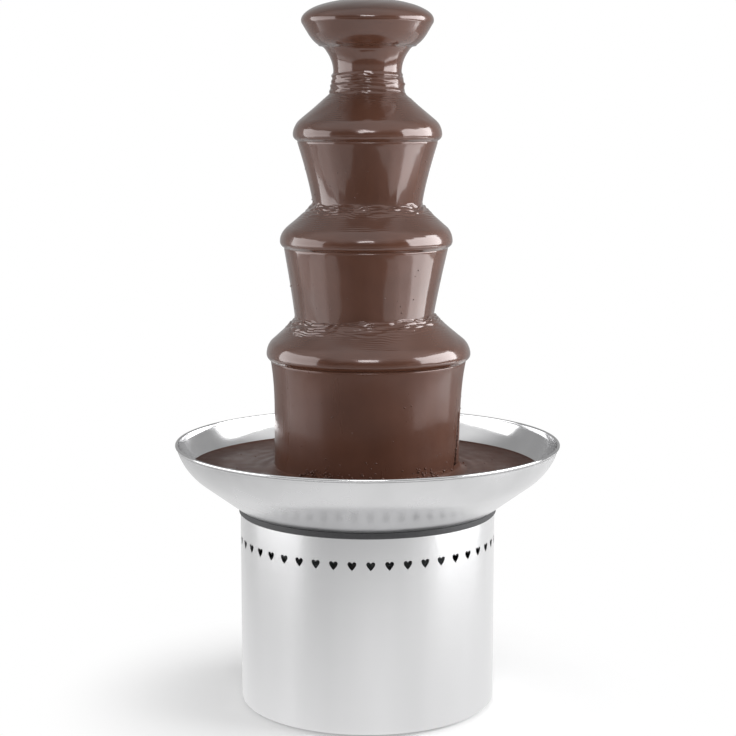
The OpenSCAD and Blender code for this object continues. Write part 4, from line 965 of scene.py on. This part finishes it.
def bubble_caps(name, spots, material):
    """Small domes of trapped air in one mesh. Each spot is a place, an outward direction and a radius."""
    vertices = []
    faces = []
    for place, out, radius in spots:
        out = Vector(out).normalized()
        side = out.orthogonal().normalized()
        cross = out.cross(side)
        first = len(vertices)
        for i in range(CAP_RINGS):
            rise = math.pi / 2 * (i - CAP_SUNK_RINGS) / CAP_RINGS
            for j in range(CAP_SIDES):
                turn = math.tau * j / CAP_SIDES
                outwards = side * math.cos(turn) + cross * math.sin(turn)
                vertices.append(Vector(place) + (outwards * math.cos(rise) + out * math.sin(rise)) * radius)
        vertices.append(Vector(place) + out * radius)
        following = [(j + 1) % CAP_SIDES for j in range(CAP_SIDES)]
        for i in range(CAP_RINGS - 1):
            a, b = first + i * CAP_SIDES, first + (i + 1) * CAP_SIDES
            faces += [(a + j, a + k, b + k, b + j) for j, k in enumerate(following)]
        last, pole = first + (CAP_RINGS - 1) * CAP_SIDES, first + CAP_RINGS * CAP_SIDES
        faces += [(last + j, last + k, pole) for j, k in enumerate(following)]
        faces.append([first + j for j in reversed(range(CAP_SIDES))])
    piece = new_object(name, vertices, faces, material)
    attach(piece, "housing")


def curtain_bubbles(name, tier, count, seed):
    """Specks on a falling curtain."""
    rng = np.random.default_rng(seed)
    spots = []
    for _ in range(count):
        phi = rng.uniform(0, math.tau)
        radius = rng.uniform(*SPECK_R)
        share = rng.uniform(*SPECK_SHARES) ** SPECK_POWER
        z = tier.foot_z + (tier.top_z - SPECK_TOP - tier.foot_z) * share
        place = around(tier.curtain_r(z) - SPECK_SINK, phi, z, float(tier.slide(z)))
        spots.append((place, (math.sin(phi), -math.cos(phi), SPECK_TILT), radius))
    bubble_caps(name, spots, FINISHES["melted_chocolate"])


def pool_bubbles():
    """Froth where the lowest curtain meets the pool, in a few patches, and single bubbles further out."""
    rng = np.random.default_rng(FROTH_SEED)
    spots = []
    for patch in (*FROTH_PATCHES, STRAY_BUBBLES):
        middle, spread, count = patch
        stray = patch is STRAY_BUBBLES
        for _ in range(count):
            phi = np.array(math.radians(middle + spread * rng.uniform(-1, 1)))
            out = FROTH_START + (rng.uniform(*STRAY_REACH) if stray else rng.exponential(FROTH_REACH))
            r = LOWER.foot_r + out
            radius = rng.uniform(*(STRAY_R if stray else FROTH_R))
            z = float(pool_level(np.array(r), phi)) + POOL_HOLLOW ** 2 / out - FROTH_SINK * radius
            spots.append((around(r, phi, z, LOWER.foot_shift), (0, 0, 1), radius))
    for middle, count in CLINGING:
        for _ in range(count):
            phi = math.radians(middle + CLINGING_SPREAD * rng.normal())
            up = CLINGING_FROM + rng.exponential(CLINGING_REACH)
            r = LOWER.foot_r + POOL_HOLLOW ** 2 / up - CLINGING_SINK
            spots.append((around(r, phi, POOL_Z + up, LOWER.foot_shift),
                          (math.sin(phi), -math.cos(phi), CLINGING_TILT), rng.uniform(*CLINGING_R)))
    bubble_caps("pool_froth", spots, FOAMY_CHOCOLATE)


# Marks on the rear controls

MARK_DEPTH = 0.12
DIAL_STEPS = 6
DIAL_FROM = -135
DIAL_TO = 135
TICK_FROM_R = 18.6
TICK_TO_R = 20.4
TICK_W = 0.7
NUMBER_R = 22.7
NUMBER_H = 2.9
POINTER_FROM_R = 4.0
POINTER_TO_R = 15.0
POINTER_W = 1.6
SWITCH_MARK_H = 3.4
SWITCH_MARK_OFF = 0.29
FACE_REACH = 3.5
BAR_STEPS = 8
FIGURE_SHARE = 0.7
FIGURE_STEPS = 6
# Marks are laid on from behind the object, at a distance in metres
BEHIND_ALL = 1.0
FORWARDS = Vector((0, -1, 0))


def dial_way(angle):
    """Direction on the rear wall, as x and z, for an angle clockwise from the top as seen from behind."""
    return np.array([-math.sin(math.radians(angle)), math.cos(math.radians(angle))])


def bar(start, end, width):
    """Flat bar on the rear wall with fine steps along it, as points in x and z and faces."""
    along = (end - start) / np.linalg.norm(end - start)
    side = np.array([-along[1], along[0]]) * width / 2
    points = []
    for i in range(BAR_STEPS + 1):
        middle = start + (end - start) * i / BAR_STEPS
        points += [middle - side, middle, middle + side]
    corners = [3 * i + j for i in range(BAR_STEPS) for j in range(2)]
    return points, [(a, a + 1, a + 4, a + 3) for a in corners]


def sign(text, centre, height):
    """A figure on the rear wall, read from behind, as points in x and z and faces."""
    curve = bpy.data.curves.new("sign", "FONT")
    curve.body = text
    curve.size = height / FIGURE_SHARE
    curve.resolution_u = FIGURE_STEPS
    holder = bpy.data.objects.new("sign", curve)
    mesh = bpy.data.meshes.new_from_object(holder)
    flat = np.array([v.co[:2] for v in mesh.vertices])
    flat = flat - (flat.min(axis=0) + flat.max(axis=0)) / 2
    points = [centre + (-x, y) for x, y in flat]
    faces = [tuple(f.vertices) for f in mesh.polygons]
    bpy.data.meshes.remove(mesh)
    bpy.data.objects.remove(holder)
    bpy.data.curves.remove(curve)
    return points, faces


def print_on(name, node, body, shapes, ink):
    """Lays flat shapes on the rear face of a solid as raised ink that rides with a body."""
    obj = frame["nodes"][node]
    corners = [obj.matrix_world @ v.co for v in obj.data.vertices]
    ground = BVHTree.FromPolygons(corners, [tuple(f.vertices) for f in obj.data.polygons])
    vertices, faces = [], []
    for points, shape_faces in shapes:
        first, count = len(vertices), len(points)
        tops, bottoms = [], []
        for x, z in points:
            place, way = ground.ray_cast(Vector((x * MM, BEHIND_ALL, z * MM)), FORWARDS)[:2]
            tops.append(place / MM + way * MARK_DEPTH)
            bottoms.append(place / MM - way * MARK_DEPTH)
        vertices += tops + bottoms
        faces += [[first + i for i in reversed(face)] for face in shape_faces]
        edges = dict.fromkeys(edge for face in shape_faces for edge in zip(face, face[1:] + face[:1]))
        for a, b in edges:
            if (b, a) not in edges:
                faces.append([first + a, first + b, first + count + b, first + count + a])
    piece = new_object(name, vertices, faces, ink, smooth_shaded=False)
    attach(piece, body)


def face_middle(node):
    """Middle of a control's outer face, as x and z."""
    points = np.array([v.co for v in frame["nodes"][node].data.vertices]) / MM
    low, high = points.min(axis=0), points.max(axis=0)
    out = (low + high)[:2] / np.linalg.norm((low + high)[:2])
    reach = points[:, :2] @ out
    face = points[reach > reach.max() - FACE_REACH]
    return ((face.min(axis=0) + face.max(axis=0)) / 2)[[0, 2]]


def mark_controls():
    """Ticks and figures on the dial, a pointer on the knob, and on and off marks on both rockers."""
    ink = FINISHES["mark_ink"]
    knob = face_middle("control_knob")
    shapes = []
    for i in range(DIAL_STEPS + 1):
        way = dial_way(DIAL_FROM + (DIAL_TO - DIAL_FROM) * i / DIAL_STEPS)
        shapes.append(bar(knob + way * TICK_FROM_R, knob + way * TICK_TO_R, TICK_W))
        shapes.append(sign(str(i), knob + way * NUMBER_R, NUMBER_H))
    print_on("dial_marks", "dial_plate", "housing", shapes, ink)
    way = dial_way(DIAL_FROM)
    pointer = bar(knob + way * POINTER_FROM_R, knob + way * POINTER_TO_R, POINTER_W)
    print_on("knob_pointer", "control_knob", "knob", [pointer], ink)
    for node, body in (("motor_switch_rocker", "motor_switch"), ("heat_switch_rocker", "heat_switch")):
        low, high = box_mm(node)
        middle = np.array([face_middle(node)[0], (low.z + high.z) / 2])
        off = np.array([0, (high.z - low.z) * SWITCH_MARK_OFF])
        shapes = [sign("I", middle + off, SWITCH_MARK_H), sign("O", middle - off, SWITCH_MARK_H)]
        print_on(node + "_marks", node, body, shapes, ink)


dress_solids()
make_bowl()
make_tier("upper_curtain", "upper_chocolate", UPPER, seed=11, hollow_size=0.8, fold_size=0.3,
          ripple_size=0.22)
make_tier("middle_curtain", "middle_chocolate", MIDDLE, seed=23, hollow_size=1.1, fold_size=1.6,
          ripple_size=0.17)
make_tier("lower_curtain", "lower_chocolate", LOWER, seed=37, hollow_size=1.2, fold_size=2.0,
          ripple_size=0.15, parting=slit)
make_crown()
make_pool()
curtain_bubbles("upper_specks", UPPER, count=70, seed=3)
curtain_bubbles("middle_specks", MIDDLE, count=60, seed=4)
curtain_bubbles("lower_specks", LOWER, count=110, seed=5)
pool_bubbles()
mark_controls()


# Stage, light and camera, in metres

FLOOR_HALF_W = 1.0
FLOOR_FRONT = 0.80
FLOOR_BACK = 1.0
# The floor's light is sampled face by face, so the number of faces is part of the look
FLOOR_COLUMNS = 52
FLOOR_ROWS = 38
FLOOR_GREY = (0.8, 0.8, 0.8, 1)
# Distances from the object between which the floor turns from shaded to white for the camera
FADE = (0.12, 0.33)
# The floor's glow in reflections, painted light that is stronger to the right where the right lamp shines:
# how strong from left to right, and where it ends
GLOW_X = (-0.6, 0.0)
GLOW_LEVELS = (0.72, 1.0)
GLOW_ENDS = (0.75, 1.05)

# The world's light in reflections by the height of the direction: dim at the horizon, with a pale strip
# below it and a bright ceiling, and even behind the object
WORLD_LEVELS = ((-0.40, 0.1), (-0.28, 0.45), (-0.08, 0.45), (0.02, 0.1), (0.15, 0.1), (0.65, 1.0))
REAR_Y = (-0.1, 0.45)
REAR_LEVEL = 0.42
SOFT_LEVEL = 0.45

# Lamps: name, place, aim, width, height and brightness. The curtains mirror the low ones.
LAMPS = (
    ("left_softbox", (-1.35, -0.1, 0.55), (0, 0, 0.5), 1.5, 1.0, 3.0),
    ("right_softbox", (1.35, -0.1, 0.75), (0, 0, 0.58), 1.5, 0.9, 7.0),
    ("left_low_softbox", (-1.35, -0.1, -0.22), (0, -0.1, 0.1), 1.5, 0.42, 1.3),
    ("right_low_softbox", (1.35, -0.1, -0.22), (0, -0.1, 0.1), 1.5, 0.42, 4.1),
    ("front_softbox", (0, -1.9, 1.35), (0, 0, 0.5), 0.75, 0.4, 9.0))

CAMERA_PLACE = (0, -1.72038, 0.58436)
CAMERA_DOWN = 8.23
CAMERA_SENSOR = 36.0
CAMERA_LENS = 86.13
CAMERA_SHIFT = 0.0007


def floor_white():
    """White that keeps the shadow near the object, and in reflections a painted glow without shadow, brighter
    to the right.
    """
    material = bpy.data.materials.new("floor_white")
    material.use_nodes = True
    nodes = Nodes(material.node_tree)
    nodes.tree.nodes.clear()
    diffuse = nodes.node("BsdfDiffuse", Color=FLOOR_GREY)
    place = nodes.coordinate("Object")
    length = nodes.node("VectorMath")
    length.operation = "LENGTH"
    nodes.link(place, length.inputs[0])
    away = length.outputs["Value"]
    # Painted light: in reflections the floor glows in place of lamplight, more on the right
    glow = nodes.white_light("Emission")
    nodes.link(nodes.span(nodes.axis(place, "X"), GLOW_X, GLOW_LEVELS), glow.inputs["Strength"])
    mirrored = nodes.blend(nodes.span(away, GLOW_ENDS, soft=True), glow.outputs[0], diffuse.outputs[0])
    white = nodes.white_light("Emission")
    seen = nodes.blend(nodes.span(away, FADE, soft=True), diffuse.outputs[0], white.outputs[0])
    shade = nodes.by_ray(diffuse.outputs[0], glossy=mirrored, camera=seen)
    nodes.link(shade, nodes.node("OutputMaterial").inputs["Surface"])
    return material


def make_floor():
    """Pale table top that fades to white."""
    row = FLOOR_COLUMNS + 1
    vertices = []
    for i in range(FLOOR_ROWS + 1):
        y = -FLOOR_FRONT + (FLOOR_FRONT + FLOOR_BACK) * i / FLOOR_ROWS
        vertices += [(FLOOR_HALF_W * (2 * j / FLOOR_COLUMNS - 1), y, 0) for j in range(row)]
    corners = [i * row + j for i in range(FLOOR_ROWS) for j in range(FLOOR_COLUMNS)]
    faces = [(a, a + 1, a + row + 1, a + row) for a in corners]
    floor = new_object("floor", vertices, faces, floor_white(), smooth_shaded=False, scale=1)


def make_world():
    """White for the camera, a studio in reflections, and plain soft light on the object."""
    world = bpy.data.worlds.new("studio")
    bpy.context.scene.world = world
    world.use_nodes = True
    nodes = Nodes(world.node_tree)
    nodes.tree.nodes.clear()
    direction = nodes.coordinate("Generated")
    rise = nodes.node("ValToRGB")
    rise.color_ramp.interpolation = "EASE"
    stops = rise.color_ramp.elements
    while len(stops) < len(WORLD_LEVELS):
        stops.new(0.5)
    for stop, (z, strength) in zip(stops, WORLD_LEVELS):
        stop.position = (z + 1) / 2
        stop.color = (strength, strength, strength, 1)
    nodes.link(nodes.span(nodes.axis(direction, "Z"), (-1, 1)), rise.inputs["Fac"])
    level = nodes.node("Mix", B=REAR_LEVEL)
    nodes.link(nodes.span(nodes.axis(direction, "Y"), REAR_Y, soft=True), level.inputs["Factor"])
    nodes.link(rise.outputs["Color"], level.inputs["A"])
    studio = nodes.white_light("Background")
    nodes.link(level.outputs["Result"], studio.inputs["Strength"])
    soft = nodes.white_light("Background", SOFT_LEVEL)
    white = nodes.white_light("Background")
    shade = nodes.by_ray(soft.outputs[0], glossy=studio.outputs[0], camera=white.outputs[0])
    nodes.link(shade, nodes.node("OutputWorld").inputs["Surface"])


def softbox(name, place, aim, width, height, brightness):
    """Rectangular lamp of an even brightness, turned towards a point."""
    lamp = bpy.data.lights.new(name, "AREA")
    lamp.shape = "RECTANGLE"
    lamp.size = width
    lamp.size_y = height
    lamp.energy = brightness * math.pi * width * height
    obj = bpy.data.objects.new(name, lamp)
    obj.location = place
    obj.rotation_euler = (Vector(aim) - Vector(place)).to_track_quat("-Z", "Y").to_euler()
    bpy.context.scene.collection.objects.link(obj)


def make_camera():
    """Camera at the photograph's viewing angle and distance."""
    data = bpy.data.cameras.new("camera")
    data.sensor_width = CAMERA_SENSOR
    data.lens = CAMERA_LENS
    data.shift_x = CAMERA_SHIFT
    camera = bpy.data.objects.new("camera", data)
    camera.location = CAMERA_PLACE
    camera.rotation_euler = (math.radians(90 - CAMERA_DOWN), 0, 0)
    bpy.context.scene.collection.objects.link(camera)
    bpy.context.scene.camera = camera


make_floor()
make_world()
for lamp in LAMPS:
    softbox(*lamp)
make_camera()
bpy.context.scene.view_settings.view_transform = "Standard"
